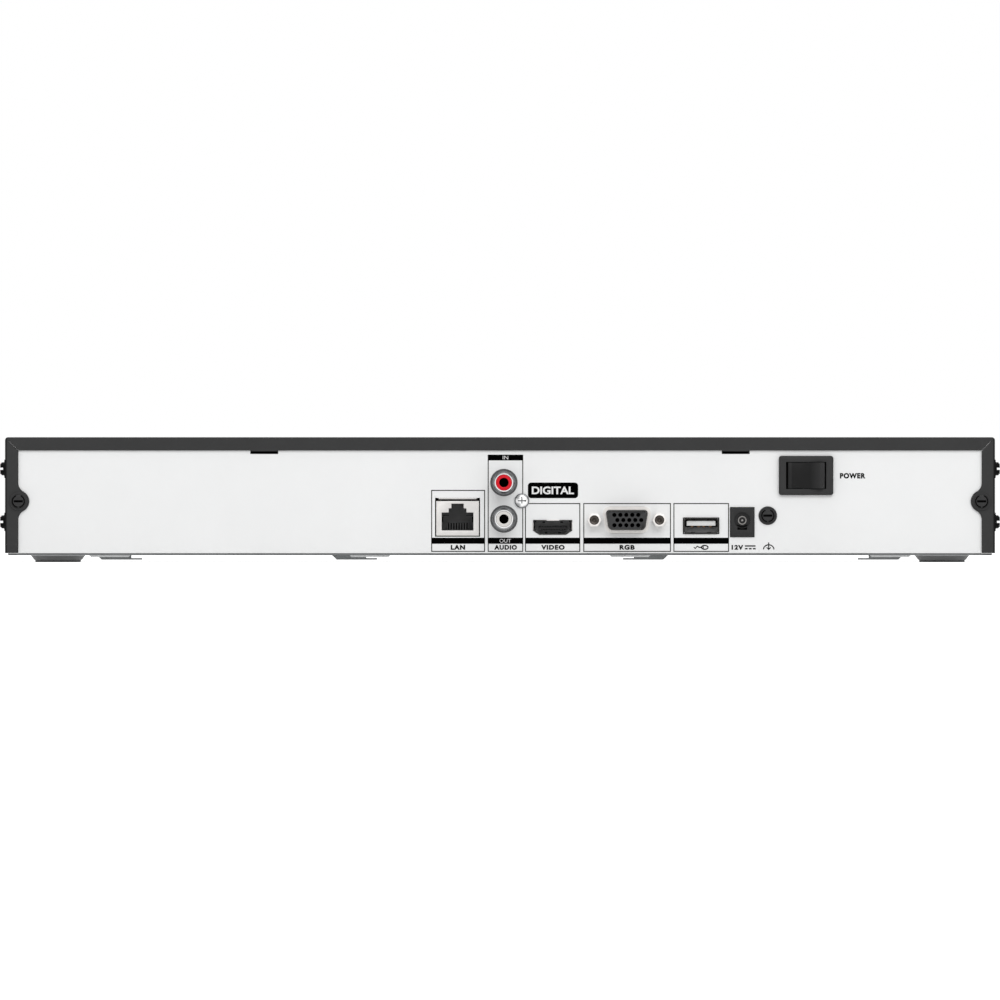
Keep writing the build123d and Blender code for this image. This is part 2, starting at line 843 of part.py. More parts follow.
# Rivets: one through each foot of the panel and the base, with a low head on top.
with BuildPart() as rivet:
    with BuildSketch():
        Circle(rivet_head_radius)
    extrude(amount=rivet_head_rise)
    fillet(rivet.edges().sort_by(Axis.Z)[-1], radius=rivet_crown)
    with BuildSketch():
        Circle(rivet_radius)
    extrude(amount=-(panel_sheet + base_sheet))
panel_rivets = group(
    rivet.part,
    [
        (-across, base_rear_y - panel_tab_depth / 2, base_top + panel_sheet)
        for across in panel_tab_across
    ],
)
save("panel_rivets", panel_rivets)

# Spacer nuts clinched into the side walls, which the cover's side screws enter.
with BuildPart() as spacer_nut:
    with BuildSketch(Plane.XY):
        Circle(nut_radius)
        Circle(cap_shank_radius + screw_gap, mode=Mode.SUBTRACT)
    extrude(amount=-side_gap)
side_places = [
    outward_plane(side, side_screw_y, height) for side in (-1, 1) for height in side_screw_heights
]
side_spacers = group(spacer_nut.part, [place.offset(-cover_sheet) for place in side_places])
save("side_spacers", side_spacers)

# Cap screws: two through each side of the cover and one through each ear.
ear_places = [
    Plane(origin=(side * window_half, rear_y, ear_height), x_dir=(1, 0, 0), z_dir=(0, 1, 0))
    for side in (-1, 1)
]
cover_screws = group(cap_screw(cap_shank_length), [*side_places, *ear_places])
save("cover_screws", cover_screws)

# Ground screw, seated on the panel itself.
ground_place = Plane(
    origin=(-ground_across, panel_face_y, ground_height), x_dir=(1, 0, 0), z_dir=(0, 1, 0)
)
ground_screw = group(cap_screw(cap_shank_length), [ground_place])
save("ground_screw", ground_screw)

# Rubber pads under the dished feet.
with BuildPart() as pad:
    Cone(
        pad_radius,
        dish_foot_radius - edge_gap,
        pad_thickness,
        align=(Align.CENTER, Align.CENTER, Align.MIN),
    )
foot_pads = group(pad.part, [(x, y, 0) for x, y in foot_places])
save("foot_pads", foot_pads)

# ---------------------------------------------------------------------------------------------
# Front
# ---------------------------------------------------------------------------------------------


def bezel_solid(setback, length):
    """The bezel's bowed outline in side view, from a depth behind its face, over a length."""
    with BuildPart() as bar:
        with BuildSketch(side_plane(-length / 2)):
            with BuildLine():
                ThreePointArc(
                    (front_y + bezel_bulge + setback, bezel_lift + setback),
                    (front_y + setback, bezel_middle),
                    (front_y + bezel_bulge + setback, bezel_top - setback),
                )
                Polyline(
                    (front_y + bezel_bulge + setback, bezel_top - setback),
                    (bezel_back_y, bezel_top - setback),
                    (bezel_back_y, bezel_lift + setback),
                    (front_y + bezel_bulge + setback, bezel_lift + setback),
                )
            make_face()
        extrude(amount=length)
    return bar


# Bezel: a bowed moulding, hollow from behind, with a lip that enters the cover.
bezel_outside = bezel_solid(0, case_width)
bezel_inside = bezel_solid(bezel_wall, case_width - 2 * bezel_wall)
with BuildPart() as front_bezel:
    add(bezel_outside.part)
    bowed_ends = front_bezel.edges().filter_by(GeomType.CIRCLE)
    long_edges = front_bezel.edges().filter_by(Axis.X).group_by(Axis.Y)[0]
    fillet([*bowed_ends, *long_edges], radius=bezel_round)
    add(bezel_inside.part, mode=Mode.SUBTRACT)
    with BuildSketch(rear_plane(bezel_back_y)):
        with Locations((0, lip_top)):
            Rectangle(2 * lip_half, lip_top - lip_low, align=(Align.CENTER, Align.MAX))
        with Locations((0, lip_top - bezel_lip_wall)):
            Rectangle(
                2 * (lip_half - bezel_lip_wall),
                lip_top - lip_low,
                align=(Align.CENTER, Align.MAX),
                mode=Mode.SUBTRACT,
            )
    extrude(amount=bezel_lip)
    # bosses for the screws through the base's front wall
    with BuildSketch(rear_plane(cover_front_y)):
        with Locations(*bezel_screw_places):
            Circle(bezel_boss_radius)
    extrude(amount=bezel_wall - bezel_depth)
    # two ribs behind the lamp board and two under the USB socket's board
    with BuildSketch(rear_plane(bezel_back_y)):
        with Locations((-lamp_board_middle, bezel_middle)):
            with GridLocations(lamp_board_width - 2 * board_rib_inset, 1, 2, 1):
                Rectangle(board_rib_width, bezel_top - bezel_lift - bezel_wall)
    extrude(amount=lamp_board_y + small_board - bezel_back_y)
    with BuildSketch(rear_plane(bezel_back_y)):
        with Locations((-front_usb_across, front_usb_board_low)):
            with GridLocations(front_usb_board_width - 2 * board_rib_inset, 1, 2, 1):
                Rectangle(
                    board_rib_width,
                    front_usb_board_low - bezel_lift - bezel_wall / 2,
                    align=(Align.CENTER, Align.MAX),
                )
    extrude(amount=front_usb_board_y - bezel_back_y)
    with BuildSketch(rear_plane(cover_front_y)):
        with Locations(*bezel_screw_places):
            Circle(pan_shank_radius + screw_gap)
    extrude(amount=-bezel_screw_length, mode=Mode.SUBTRACT)
    # opening for the window strip
    with BuildSketch(rear_plane(front_y)):
        with Locations((0, bezel_middle)):
            RectangleRounded(window_width, window_height, window_round)
    extrude(amount=bezel_wall + bezel_bulge, mode=Mode.SUBTRACT)
save("front_bezel", front_bezel)

# Window strip: glossy and bowed like the bezel, with a mouth for the front USB socket.
window_outside = bezel_solid(0, case_width)
with BuildPart() as front_window:
    add(window_outside.part)
    with BuildSketch(rear_plane(front_y)):
        with Locations((0, bezel_middle)):
            RectangleRounded(
                window_width - 2 * slip_gap, window_height - 2 * slip_gap, window_round - slip_gap
            )
        with Locations((-front_usb_across, front_usb_height)):
            Rectangle(usb_width + 2 * slip_gap, usb_height + 2 * slip_gap, mode=Mode.SUBTRACT)
    extrude(amount=window_thickness, mode=Mode.INTERSECT)
save("front_window", front_window)

# Clear light pipes from the lamps on the front board to the window.
with BuildPart() as light_pipes:
    with BuildSketch(rear_plane(window_back_y)):
        with Locations(*[(-across, bezel_middle) for across in lamp_places]):
            Circle(lamp_radius)
    extrude(amount=lamp_length)
save("light_pipes", light_pipes)

# Lamp board: upright behind the window, between the light pipes and two ribs of the bezel.
with BuildPart() as lamp_board:
    with BuildSketch(rear_plane(lamp_board_y)):
        with Locations((-lamp_board_middle, bezel_middle)):
            Rectangle(lamp_board_width, lamp_board_height)
    extrude(amount=small_board)
save("lamp_board", lamp_board)


def usb_shell(face, across, height, drop):
    """A pressed shell that opens towards the plane's normal, with two legs under it."""
    with BuildPart() as shell:
        with BuildSketch(face):
            with Locations((across, height)):
                RectangleRounded(usb_width, usb_height, usb_round)
        extrude(amount=-usb_length)
        with BuildSketch(face):
            with Locations((across, height)):
                RectangleRounded(
                    usb_width - 2 * usb_sheet, usb_height - 2 * usb_sheet, usb_round - usb_sheet
                )
        extrude(amount=usb_sheet - usb_length, mode=Mode.SUBTRACT)
        if drop > 0:
            with BuildSketch(face.offset(-usb_length / 2)):
                for side in (-1, 1):
                    with Locations(
                        (
                            across + side * (usb_width - usb_sheet) / 2,
                            height - usb_height / 2 + usb_round,
                        )
                    ):
                        Rectangle(
                            usb_sheet, drop + usb_round, align=(Align.CENTER, Align.MAX)
                        )
            extrude(amount=-usb_leg)
    return shell


def usb_tongue(face, across, height):
    """The plastic tongue above the shell's middle, with the block that carries it."""
    with BuildPart() as tongue:
        inner_width = usb_width - 2 * (usb_sheet + snug_gap)
        inner_height = usb_height - 2 * (usb_sheet + snug_gap)
        with BuildSketch(face.offset(usb_sheet + snug_gap - usb_length)):
            with Locations((across, height)):
                RectangleRounded(inner_width, inner_height, usb_round - usb_sheet - snug_gap)
        extrude(amount=usb_block)
        with BuildSketch(face.offset(usb_sheet + snug_gap - usb_length + usb_block)):
            with Locations((across, height)):
                Rectangle(
                    usb_tongue_width, usb_tongue_thickness, align=(Align.CENTER, Align.MIN)
                )
        extrude(amount=usb_length - usb_sheet - snug_gap - usb_block - usb_tongue_setback)
    return tongue


# Front USB socket on its own board, which lies on two ribs of the bezel.
front_usb_face = Plane(origin=(0, front_y, 0), x_dir=(1, 0, 0), z_dir=(0, -1, 0))
front_usb_shell = usb_shell(front_usb_face, front_usb_across, front_usb_height, 0)
save("front_usb_shell", front_usb_shell)
front_usb_tongue = usb_tongue(front_usb_face, front_usb_across, front_usb_height)
save("front_usb_tongue", front_usb_tongue)

with BuildPart() as front_usb_board:
    with BuildSketch(front_usb_face.offset(-window_thickness - front_usb_board_gap)):
        with Locations((front_usb_across, front_usb_height - usb_height / 2)):
            Rectangle(front_usb_board_width, small_board, align=(Align.CENTER, Align.MAX))
    extrude(amount=-front_usb_board_depth)
save("front_usb_board", front_usb_board)

# ---------------------------------------------------------------------------------------------
# Rear sockets
# ---------------------------------------------------------------------------------------------

lan_face_y = panel_face_y + lan_proud
lan_step_low = lan_mouth_low + lan_mouth_height
lan_notch_low = lan_step_low + lan_step_height


def lan_mouth():
    """The stepped mouth of the network socket, as a flat outline."""
    with BuildSketch() as mouth:
        with Locations((lan_across, lan_mouth_low)):
            Rectangle(lan_mouth_width, lan_mouth_height, align=(Align.CENTER, Align.MIN))
        with Locations((lan_across, lan_step_low)):
            Rectangle(lan_step_width, lan_step_height, align=(Align.CENTER, Align.MIN))
        with Locations((lan_across, lan_notch_low)):
            Rectangle(lan_notch_width, lan_notch_height, align=(Align.CENTER, Align.MIN))
    return mouth.sketch


# Network socket: a folded shield round a moulded insert with eight sprung wires.
with BuildPart() as lan_shield:
    with BuildSketch(rear_plane(lan_face_y)):
        with Locations((lan_across, board_top)):
            Rectangle(lan_width, lan_height, align=(Align.CENTER, Align.MIN))
    extrude(amount=-lan_length)
    with BuildSketch(rear_plane(lan_face_y - lan_sheet)):
        with Locations((lan_across, board_top)):
            Rectangle(
                lan_width - 2 * lan_sheet, lan_height - lan_sheet, align=(Align.CENTER, Align.MIN)
            )
    extrude(amount=2 * lan_sheet - lan_length, mode=Mode.SUBTRACT)
    with BuildSketch(rear_plane(lan_face_y)):
        add(lan_mouth())
    extrude(amount=-lan_sheet, mode=Mode.SUBTRACT)
save("lan_shield", lan_shield)

with BuildPart() as lan_insert:
    with BuildSketch(rear_plane(lan_face_y - lan_sheet - snug_gap)):
        with Locations((lan_across, board_top)):
            Rectangle(
                lan_width - 2 * (lan_sheet + snug_gap),
                lan_height - lan_sheet - snug_gap,
                align=(Align.CENTER, Align.MIN),
            )
    extrude(amount=2 * (lan_sheet + snug_gap) - lan_length)
    with BuildSketch(rear_plane(lan_face_y)):
        add(lan_mouth())
    extrude(amount=-lan_mouth_depth, mode=Mode.SUBTRACT)
save("lan_insert", lan_insert)

with BuildPart() as lan_contacts:
    for number in range(contact_count):
        offset_across = (number - (contact_count - 1) / 2) * contact_pitch
        start_y = lan_face_y - contact_start
        end_y = lan_face_y - lan_mouth_depth
        with BuildSketch(side_plane(-lan_across - offset_across)):
            with BuildLine():
                Polyline(
                    (start_y, lan_mouth_low),
                    (end_y, lan_mouth_low + contact_rise),
                    (end_y, lan_mouth_low + contact_rise - contact_width),
                    (start_y - 2 * contact_width, lan_mouth_low),
                    close=True,
                )
            make_face()
        extrude(amount=contact_width / 2, both=True)
save("lan_contacts", lan_contacts)

# Audio jacks: two plated barrels on one block, which a screw through the panel holds.
with BuildPart() as audio_block:
    with BuildSketch(rear_plane(panel_back_y)) as block_outline:
        with Locations((audio_across, board_top)):
            Rectangle(
                audio_block_width, audio_block_top - board_top, align=(Align.CENTER, Align.MIN)
            )
    extrude(amount=-audio_block_depth)
    with BuildSketch(rear_plane(panel_back_y)):
        with Locations((audio_lug_across, audio_lug_height)):
            Circle(audio_lug_radius)
    extrude(amount=-(audio_screw_length + screw_gap))
    with BuildSketch(rear_plane(panel_back_y)):
        with Locations((audio_lug_across, audio_lug_height)):
            Circle(pan_shank_radius + screw_gap)
    extrude(amount=-audio_screw_length, mode=Mode.SUBTRACT)
save("audio_block", audio_block)

barrel_length = rear_y + barrel_reach - panel_back_y
barrel_places = [
    Plane(origin=(-audio_across, panel_back_y, height), x_dir=(1, 0, 0), z_dir=(0, 1, 0))
    for height in audio_heights
]
with BuildPart() as barrel:
    with BuildSketch():
        Circle(barrel_flange_radius)
    extrude(amount=panel_sheet + barrel_flange_proud)
    with BuildSketch():
        Circle(barrel_radius)
    extrude(amount=barrel_length)
    with BuildSketch():
        Circle(barrel_bore)
    extrude(amount=barrel_length, mode=Mode.SUBTRACT)
audio_barrels = group(barrel.part, barrel_places)
save("audio_barrels", audio_barrels)

with BuildPart() as insulator:
    with BuildSketch():
        Circle(barrel_bore - snug_gap)
    extrude(amount=barrel_length - insulator_recess)
    with BuildSketch(Plane.XY.offset(barrel_length - insulator_recess)):
        Circle(insulator_bore)
    extrude(amount=-barrel_reach, mode=Mode.SUBTRACT)
save("audio_out_insulator", group(insulator.part, barrel_places[:1]))
save("audio_in_insulator", group(insulator.part, barrel_places[1:]))

audio_block_screw = group(
    pan_screw(audio_screw_length),
    [
        Plane(
            origin=(-audio_lug_across, panel_face_y, audio_lug_height),
            x_dir=(1, 0, 0),
            z_dir=(0, 1, 0),
        )
    ],
)
save("audio_block_screw", audio_block_screw)

# Digital video socket: a bevelled shell with a flat tongue in a moulded block.
video_face_y = panel_face_y + video_proud


with BuildPart() as video_shell:
    with BuildSketch(rear_plane(video_face_y)):
        add(video_outline(0))
    extrude(amount=-video_length)
    with BuildSketch(rear_plane(video_face_y)):
        add(video_outline(video_sheet))
    extrude(amount=video_sheet - video_length, mode=Mode.SUBTRACT)
    with BuildSketch(rear_plane(panel_back_y - board_back_gap)):
        for side in (-1, 1):
            leg_across = video_across + side * (video_width / 2 - video_bevel_width - video_sheet)
            with Locations((leg_across, board_top)):
                Rectangle(
                    2 * video_sheet,
                    video_height - video_rise / 2 - board_top,
                    align=(Align.CENTER, Align.MIN),
                )
    extrude(amount=-usb_leg)
save("video_shell", video_shell)

with BuildPart() as video_tongue:
    with BuildSketch(rear_plane(video_face_y - video_cavity)):
        add(video_outline(video_sheet + snug_gap))
    extrude(amount=video_cavity + video_sheet + snug_gap - video_length)
    with BuildSketch(rear_plane(video_face_y - video_cavity)):
        with Locations((video_across, video_tongue_low)):
            Rectangle(video_tongue_width, video_tongue_rise, align=(Align.CENTER, Align.MIN))
    extrude(amount=video_cavity - video_tongue_setback)
save("video_tongue", video_tongue)

# Analog video socket: a flanged D-shaped shell round an insert with three rows of holes.


dsub_face_y = panel_face_y + dsub_reach
dsub_flange_rise = 2 * (dsub_height - board_top)
with BuildPart() as dsub_shell:
    with BuildSketch(rear_plane(panel_back_y)):
        with Locations((dsub_across, dsub_height)):
            Rectangle(dsub_flange_width, dsub_flange_rise)
    extrude(amount=-dsub_flange_sheet)
    with BuildSketch(rear_plane(panel_back_y)):
        add(d_outline(dsub_collar))
    extrude(amount=panel_sheet + dsub_collar_proud)
    with BuildSketch(rear_plane(panel_face_y)):
        add(d_outline(0))
    extrude(amount=dsub_reach)
    with BuildSketch(rear_plane(dsub_face_y)):
        add(d_outline(-dsub_shell_wall))
    extrude(amount=panel_back_y - dsub_flange_sheet - dsub_face_y, mode=Mode.SUBTRACT)
    with BuildSketch(rear_plane(panel_back_y)):
        with Locations((dsub_across, dsub_height)):
            with GridLocations(jack_nut_spacing, 1, 2, 1):
                Circle(jack_nut_shank + screw_gap)
    extrude(amount=-dsub_flange_sheet, mode=Mode.SUBTRACT)
save("dsub_shell", dsub_shell)

dsub_rows = ((1, -0.1), (0, 0.4), (-1, -0.1))       # rows above the middle, shift in pitches
with BuildPart() as dsub_insert:
    with BuildSketch(rear_plane(dsub_face_y - dsub_insert_inset)):
        add(d_outline(-dsub_shell_wall - snug_gap))
    extrude(amount=panel_back_y - dsub_flange_sheet - dsub_face_y + dsub_insert_inset)
    with BuildSketch(rear_plane(panel_back_y - dsub_flange_sheet)):
        with Locations((dsub_across, board_top)):
            Rectangle(
                jack_nut_spacing - 4 * jack_nut_shank,
                dsub_flange_rise,
                align=(Align.CENTER, Align.MIN),
            )
    extrude(amount=-dsub_body_depth)
    with BuildSketch(rear_plane(dsub_face_y - dsub_insert_inset)):
        for row, shift in dsub_rows:
            with Locations((dsub_across + shift * dsub_pitch, dsub_height + row * dsub_row_pitch)):
                with GridLocations(dsub_pitch, 1, 5, 1):
                    Circle(dsub_hole_radius)
    extrude(amount=-dsub_hole_depth, mode=Mode.SUBTRACT)
save("dsub_insert", dsub_insert)

# Jack nuts: hexagons tapped for the plug's screws, their shanks through panel and flange.
with BuildPart() as jack_nut:
    with BuildSketch():
        RegularPolygon(jack_nut_flat / 2, 6, major_radius=False)
    extrude(amount=jack_nut_reach)
    with BuildSketch(Plane.XY.offset(jack_nut_reach)):
        Circle(jack_nut_bore)
    extrude(amount=jack_nut_floor - jack_nut_reach, mode=Mode.SUBTRACT)
    jack_nut_mouth = jack_nut.edges().filter_by(GeomType.CIRCLE).sort_by(Axis.Z)[-1]
    chamfer(jack_nut_mouth, length=jack_nut_countersink)
    with BuildSketch(Plane.XY.offset(jack_nut_reach)):
        Circle(jack_nut_flat / 2)
    extrude(amount=-jack_nut_reach, taper=-jack_nut_slant, mode=Mode.INTERSECT)
    with BuildSketch():
        Circle(jack_nut_shank)
    extrude(amount=-(panel_sheet + dsub_flange_sheet + jack_nut_drop))
jack_nut_places = [
    Plane(
        origin=(side * jack_nut_spacing / 2 - dsub_across, panel_face_y, dsub_height),
        x_dir=(1, 0, 0),
        z_dir=(0, 1, 0),
    )
    for side in (-1, 1)
]
dsub_nuts = group(jack_nut.part, jack_nut_places)
save("dsub_nuts", dsub_nuts)

# Rear USB socket.
rear_usb_face = rear_plane(panel_face_y + usb_proud)
rear_usb_drop = usb_centre_height - usb_height / 2 - board_top
rear_usb_shell = usb_shell(rear_usb_face, usb_across, usb_centre_height, rear_usb_drop)
save("rear_usb_shell", rear_usb_shell)
rear_usb_tongue = usb_tongue(rear_usb_face, usb_across, usb_centre_height)
save("rear_usb_tongue", rear_usb_tongue)

# Power jack: a moulded body with a centre pin and a leaf in a slot under the bore.
power_face_y = panel_face_y + power_proud
power_bore_place = (power_across, power_bore_height)
power_slot_low = power_bore_height - power_bore_radius - power_slot_rise / 2
with BuildPart() as power_jack_body:
    with BuildSketch(rear_plane(power_face_y)):
        with Locations((power_across, power_low)):
            Rectangle(power_width, power_rise, align=(Align.CENTER, Align.MIN))
    extrude(amount=board_rear_y + slip_gap - power_face_y)
    with BuildSketch(rear_plane(board_rear_y + slip_gap)):
        with Locations((power_across, board_top)):
            Rectangle(power_width, power_low + power_rise - board_top, align=(Align.CENTER, Align.MIN))
    extrude(amount=-power_body_depth)
    with BuildSketch(rear_plane(power_face_y)):
        with Locations(power_bore_place):
            Circle(power_bore_radius)
        with Locations((power_across, power_slot_low)):
            Rectangle(
                power_spring_width + 2 * snug_gap, power_slot_rise, align=(Align.CENTER, Align.MIN)
            )
    extrude(amount=-power_bore_depth, mode=Mode.SUBTRACT)
save("power_jack_body", power_jack_body)

with BuildPart() as power_jack_pin:
    with BuildSketch(rear_plane(power_face_y - power_bore_depth)):
        with Locations(power_bore_place):
            Circle(power_pin_base)
    extrude(amount=power_bore_depth / 2)
    with BuildSketch(rear_plane(power_face_y - power_bore_depth)):
        with Locations(power_bore_place):
            Circle(power_pin_radius)
    extrude(amount=power_bore_depth - power_pin_recess)
save("power_jack_pin", power_jack_pin)

with BuildPart() as power_jack_leaf:
    with BuildSketch(rear_plane(power_face_y - power_pin_recess)):
        with Locations((power_across, power_slot_low)):
            Rectangle(power_spring_width, power_spring_sheet, align=(Align.CENTER, Align.MIN))
    extrude(amount=-power_spring_length)
save("power_jack_leaf", power_jack_leaf)

# Rocker switch: a housing through the panel, and a rocker on two stub pivots.
switch_face_y = panel_face_y + switch_bezel_proud
pivot_y = switch_face_y - rocker_pivot_depth
rocker_half_rise = switch_mouth_rise / 2 - rocker_side_gap
with BuildPart() as switch_housing:
    with BuildSketch(rear_plane(panel_face_y)):
        with Locations((switch_across, switch_height)):
            RectangleRounded(switch_bezel_width, switch_bezel_rise, switch_bezel_round)
    extrude(amount=switch_bezel_proud)
    chamfer(switch_housing.faces().sort_by(Axis.Y)[-1].edges(), length=switch_bezel_round / 2)
    with BuildSketch(rear_plane(panel_face_y)):
        with Locations((switch_across, switch_height)):
            Rectangle(switch_body_width, switch_body_rise)
    extrude(amount=-switch_body_depth)
    with BuildSketch(rear_plane(switch_face_y)):
        with Locations((switch_across, switch_height)):
            Rectangle(switch_mouth_width, switch_mouth_rise)
    extrude(amount=-switch_mouth_depth, mode=Mode.SUBTRACT)
    with Locations((-switch_across, pivot_y, switch_height)):
        Cylinder(
            pivot_radius + running_gap,
            switch_mouth_rise + 2 * pivot_engage,
            mode=Mode.SUBTRACT,
        )
save("switch_housing", switch_housing)

rocker_plane = Plane(
    origin=(-switch_across, pivot_y, switch_height), x_dir=(-1, 0, 0), z_dir=(0, 0, -1)
).rotated((0, 0, -rocker_tilt))
with BuildPart() as switch_rocker:
    with BuildSketch(rocker_plane):
        with BuildLine():
            ThreePointArc(
                (-rocker_half_length, rocker_crest),
                (0, rocker_crest - rocker_dish),
                (rocker_half_length, rocker_crest),
            )
            Polyline(
                (rocker_half_length, rocker_crest),
                (rocker_waist, 0),
                (rocker_heel, -rocker_heel_depth),
                (-rocker_heel, -rocker_heel_depth),
                (-rocker_waist, 0),
                (-rocker_half_length, rocker_crest),
            )
        make_face()
    extrude(amount=rocker_half_rise, both=True)
    with BuildSketch(rocker_plane):
        Circle(pivot_radius)
    extrude(amount=switch_mouth_rise / 2 + pivot_engage - running_gap, both=True)
save("switch_rocker", switch_rocker)

switch_back_y = panel_face_y - switch_body_depth
with BuildPart() as switch_terminals:
    with BuildSketch(rear_plane(switch_back_y)):
        with Locations((switch_across, switch_height)):
            with GridLocations(terminal_spacing, 1, 2, 1):
                Rectangle(terminal_sheet, terminal_width)
    extrude(amount=-terminal_length)
save("switch_terminals", switch_terminals)

# ---------------------------------------------------------------------------------------------
# Main board
# ---------------------------------------------------------------------------------------------

standoff_columns = (
    board_middle - board_width / 2 + standoff_side_inset,
    board_middle - sink_size / 2 - standoff_sink_gap,
    board_middle + board_width / 2 - standoff_side_inset,
)
standoff_places = [
    (x, y)
    for x in standoff_columns
    for y in (board_front_y + standoff_front_inset, board_rear_y - standoff_rear_inset)
]
with BuildPart() as main_board:
    with BuildSketch(Plane.XY.offset(board_bottom)):
        with Locations((board_middle, board_y)):
            Rectangle(board_width, board_depth)
        with Locations(*standoff_places):
            Circle(pan_shank_radius + screw_gap, mode=Mode.SUBTRACT)
    extrude(amount=board_thickness)
save("main_board", main_board)

with BuildPart() as standoff:
    with BuildSketch():
        RegularPolygon(standoff_radius, 6)
        Circle(pan_shank_radius + screw_gap, mode=Mode.SUBTRACT)
    extrude(amount=board_bottom - base_top)
board_standoffs = group(standoff.part, [(x, y, base_top) for x, y in standoff_places])
save("board_standoffs", board_standoffs)

board_screws = group(
    pan_screw(board_thickness + board_bottom - base_top - screw_gap),
    [(x, y, board_top) for x, y in standoff_places],
)
save("board_screws", board_screws)

# Processor under a finned heat sink.
# Midway between the sockets' row and the digital video socket.
sink_y = (socket_row_y + socket_depth / 2 + video_face_y - video_length) / 2
with BuildPart() as processor:
    with BuildSketch(Plane.XY.offset(board_top)):
        with Locations((board_middle, sink_y)):
            Rectangle(processor_size, processor_size)
    extrude(amount=processor_rise)
save("processor", processor)

with BuildPart() as heat_sink:
    with BuildSketch(Plane.XY.offset(board_top + processor_rise)):
        with Locations((board_middle, sink_y)):
            Rectangle(sink_size, sink_size)
    extrude(amount=sink_floor)
    with BuildSketch(Plane.XY.offset(board_top + processor_rise + sink_floor)):
        with Locations((board_middle, sink_y)):
            with GridLocations((sink_size - sink_fin) / (sink_fins - 1), 1, sink_fins, 1):
                Rectangle(sink_fin, sink_size)
    extrude(amount=sink_rise - sink_floor)
save("heat_sink", heat_sink)

with BuildPart() as memory_chip:
    with BuildSketch():
        Rectangle(memory_width, memory_length)
    extrude(amount=memory_rise)
memory_chips = group(
    memory_chip.part,
    [
        (
            board_middle + side * (board_width / 2 - memory_side_inset),
            sink_y + row * memory_row_pitch / 2,
            board_top,
        )
        for side in (-1, 1)
        for row in (-1, 1)
    ],
)
save("memory_chips", memory_chips)

with BuildPart() as can:
    with BuildSketch():
        Circle(can_radius)
    extrude(amount=can_rise)
capacitors = group(
    can.part,
    [
        (board_middle - board_width / 2 + can_spacing * (number + 1), board_y + can_radius, board_top)
        for number in range(can_count)
    ],
)
save("capacitors", capacitors)

cell_x = board_middle + board_width / 2 - cell_side_inset
cell_y = (socket_row_y + socket_depth / 2 + lan_face_y - lan_length) / 2
with BuildPart() as cell_holder:
    with BuildSketch(Plane.XY.offset(board_top)):
        with Locations((cell_x, cell_y)):
            Circle(cell_radius + slip_gap + cell_holder_wall)
    extrude(amount=cell_holder_floor + cell_thickness)
    with BuildSketch(Plane.XY.offset(board_top + cell_holder_floor)):
        with Locations((cell_x, cell_y)):
            Circle(cell_radius + slip_gap)
    extrude(amount=cell_thickness, mode=Mode.SUBTRACT)
save("cell_holder", cell_holder)

with BuildPart() as coin_cell:
    with BuildSketch(Plane.XY.offset(board_top + cell_holder_floor)):
        with Locations((cell_x, cell_y)):
            Circle(cell_radius)
    extrude(amount=cell_thickness)
save("coin_cell", coin_cell)

# ---------------------------------------------------------------------------------------------
# Drives
# ---------------------------------------------------------------------------------------------

drive_y = (drive_front_y + drive_rear_y) / 2
drive_board_y = drive_rear_y - drive_board_length / 2
drive_lid_low = base_top + drive_rise - drive_lid_sheet
connector_low = base_top + drive_connector_low
drives = [(side, side * drive_across, side * (drive_across - drive_connector_shift)) for side in (-1, 1)]

# Drive cases: cast bodies, hollow under their boards, tapped underneath.
with BuildPart() as drive_cases:
    for side, middle, connector_x in drives:
        with BuildSketch(Plane.XY.offset(base_top)):
            with Locations((middle, drive_y)):
                RectangleRounded(drive_width, drive_length, drive_corner)
        extrude(amount=drive_rise - drive_lid_sheet)
        with BuildSketch(Plane.XY.offset(base_top)):
            with Locations((middle, drive_board_y)):
                Rectangle(
                    drive_board_width + 2 * slip_gap, drive_board_length + 2 * slip_gap
                )
        extrude(amount=drive_board_recess, mode=Mode.SUBTRACT)
        with BuildSketch(rear_plane(drive_rear_y)):
            with Locations((-connector_x, base_top)):
                Rectangle(
                    drive_connector_width + 2 * slip_gap,
                    drive_connector_low + drive_connector_rise + slip_gap,
                    align=(Align.CENTER, Align.MIN),
                )
        extrude(amount=-(drive_connector_depth + slip_gap), mode=Mode.SUBTRACT)
    with BuildSketch(Plane.XY.offset(base_top)):
        with Locations(*drive_screw_places):
            Circle(drive_screw_shank + screw_gap)
    extrude(amount=drive_screw_length, mode=Mode.SUBTRACT)
save("drive_cases", drive_cases)

with BuildPart() as drive_lids:
    for side, middle, connector_x in drives:
        with BuildSketch(Plane.XY.offset(drive_lid_low)):
            with Locations((middle, drive_y)):
                RectangleRounded(drive_width - 2 * edge_gap, drive_length - 2 * edge_gap, drive_corner)
        extrude(amount=drive_lid_sheet)
save("drive_lids", drive_lids)

# Drive boards, each with the edge connector that its plugs meet.
drive_board_low = base_top + drive_board_recess - drive_board_thickness
with BuildPart() as drive_boards:
    for side, middle, connector_x in drives:
        with BuildSketch(Plane.XY.offset(drive_board_low)):
            with Locations((middle, drive_board_y)):
                Rectangle(drive_board_width, drive_board_length)
        extrude(amount=drive_board_thickness)
        with BuildSketch(rear_plane(drive_rear_y)):
            with Locations((-connector_x, drive_board_low)):
                Rectangle(
                    drive_connector_width,
                    connector_low + drive_connector_rise - drive_board_low,
                    align=(Align.CENTER, Align.MIN),
                )
        extrude(amount=-drive_connector_depth)
save("drive_boards", drive_boards)

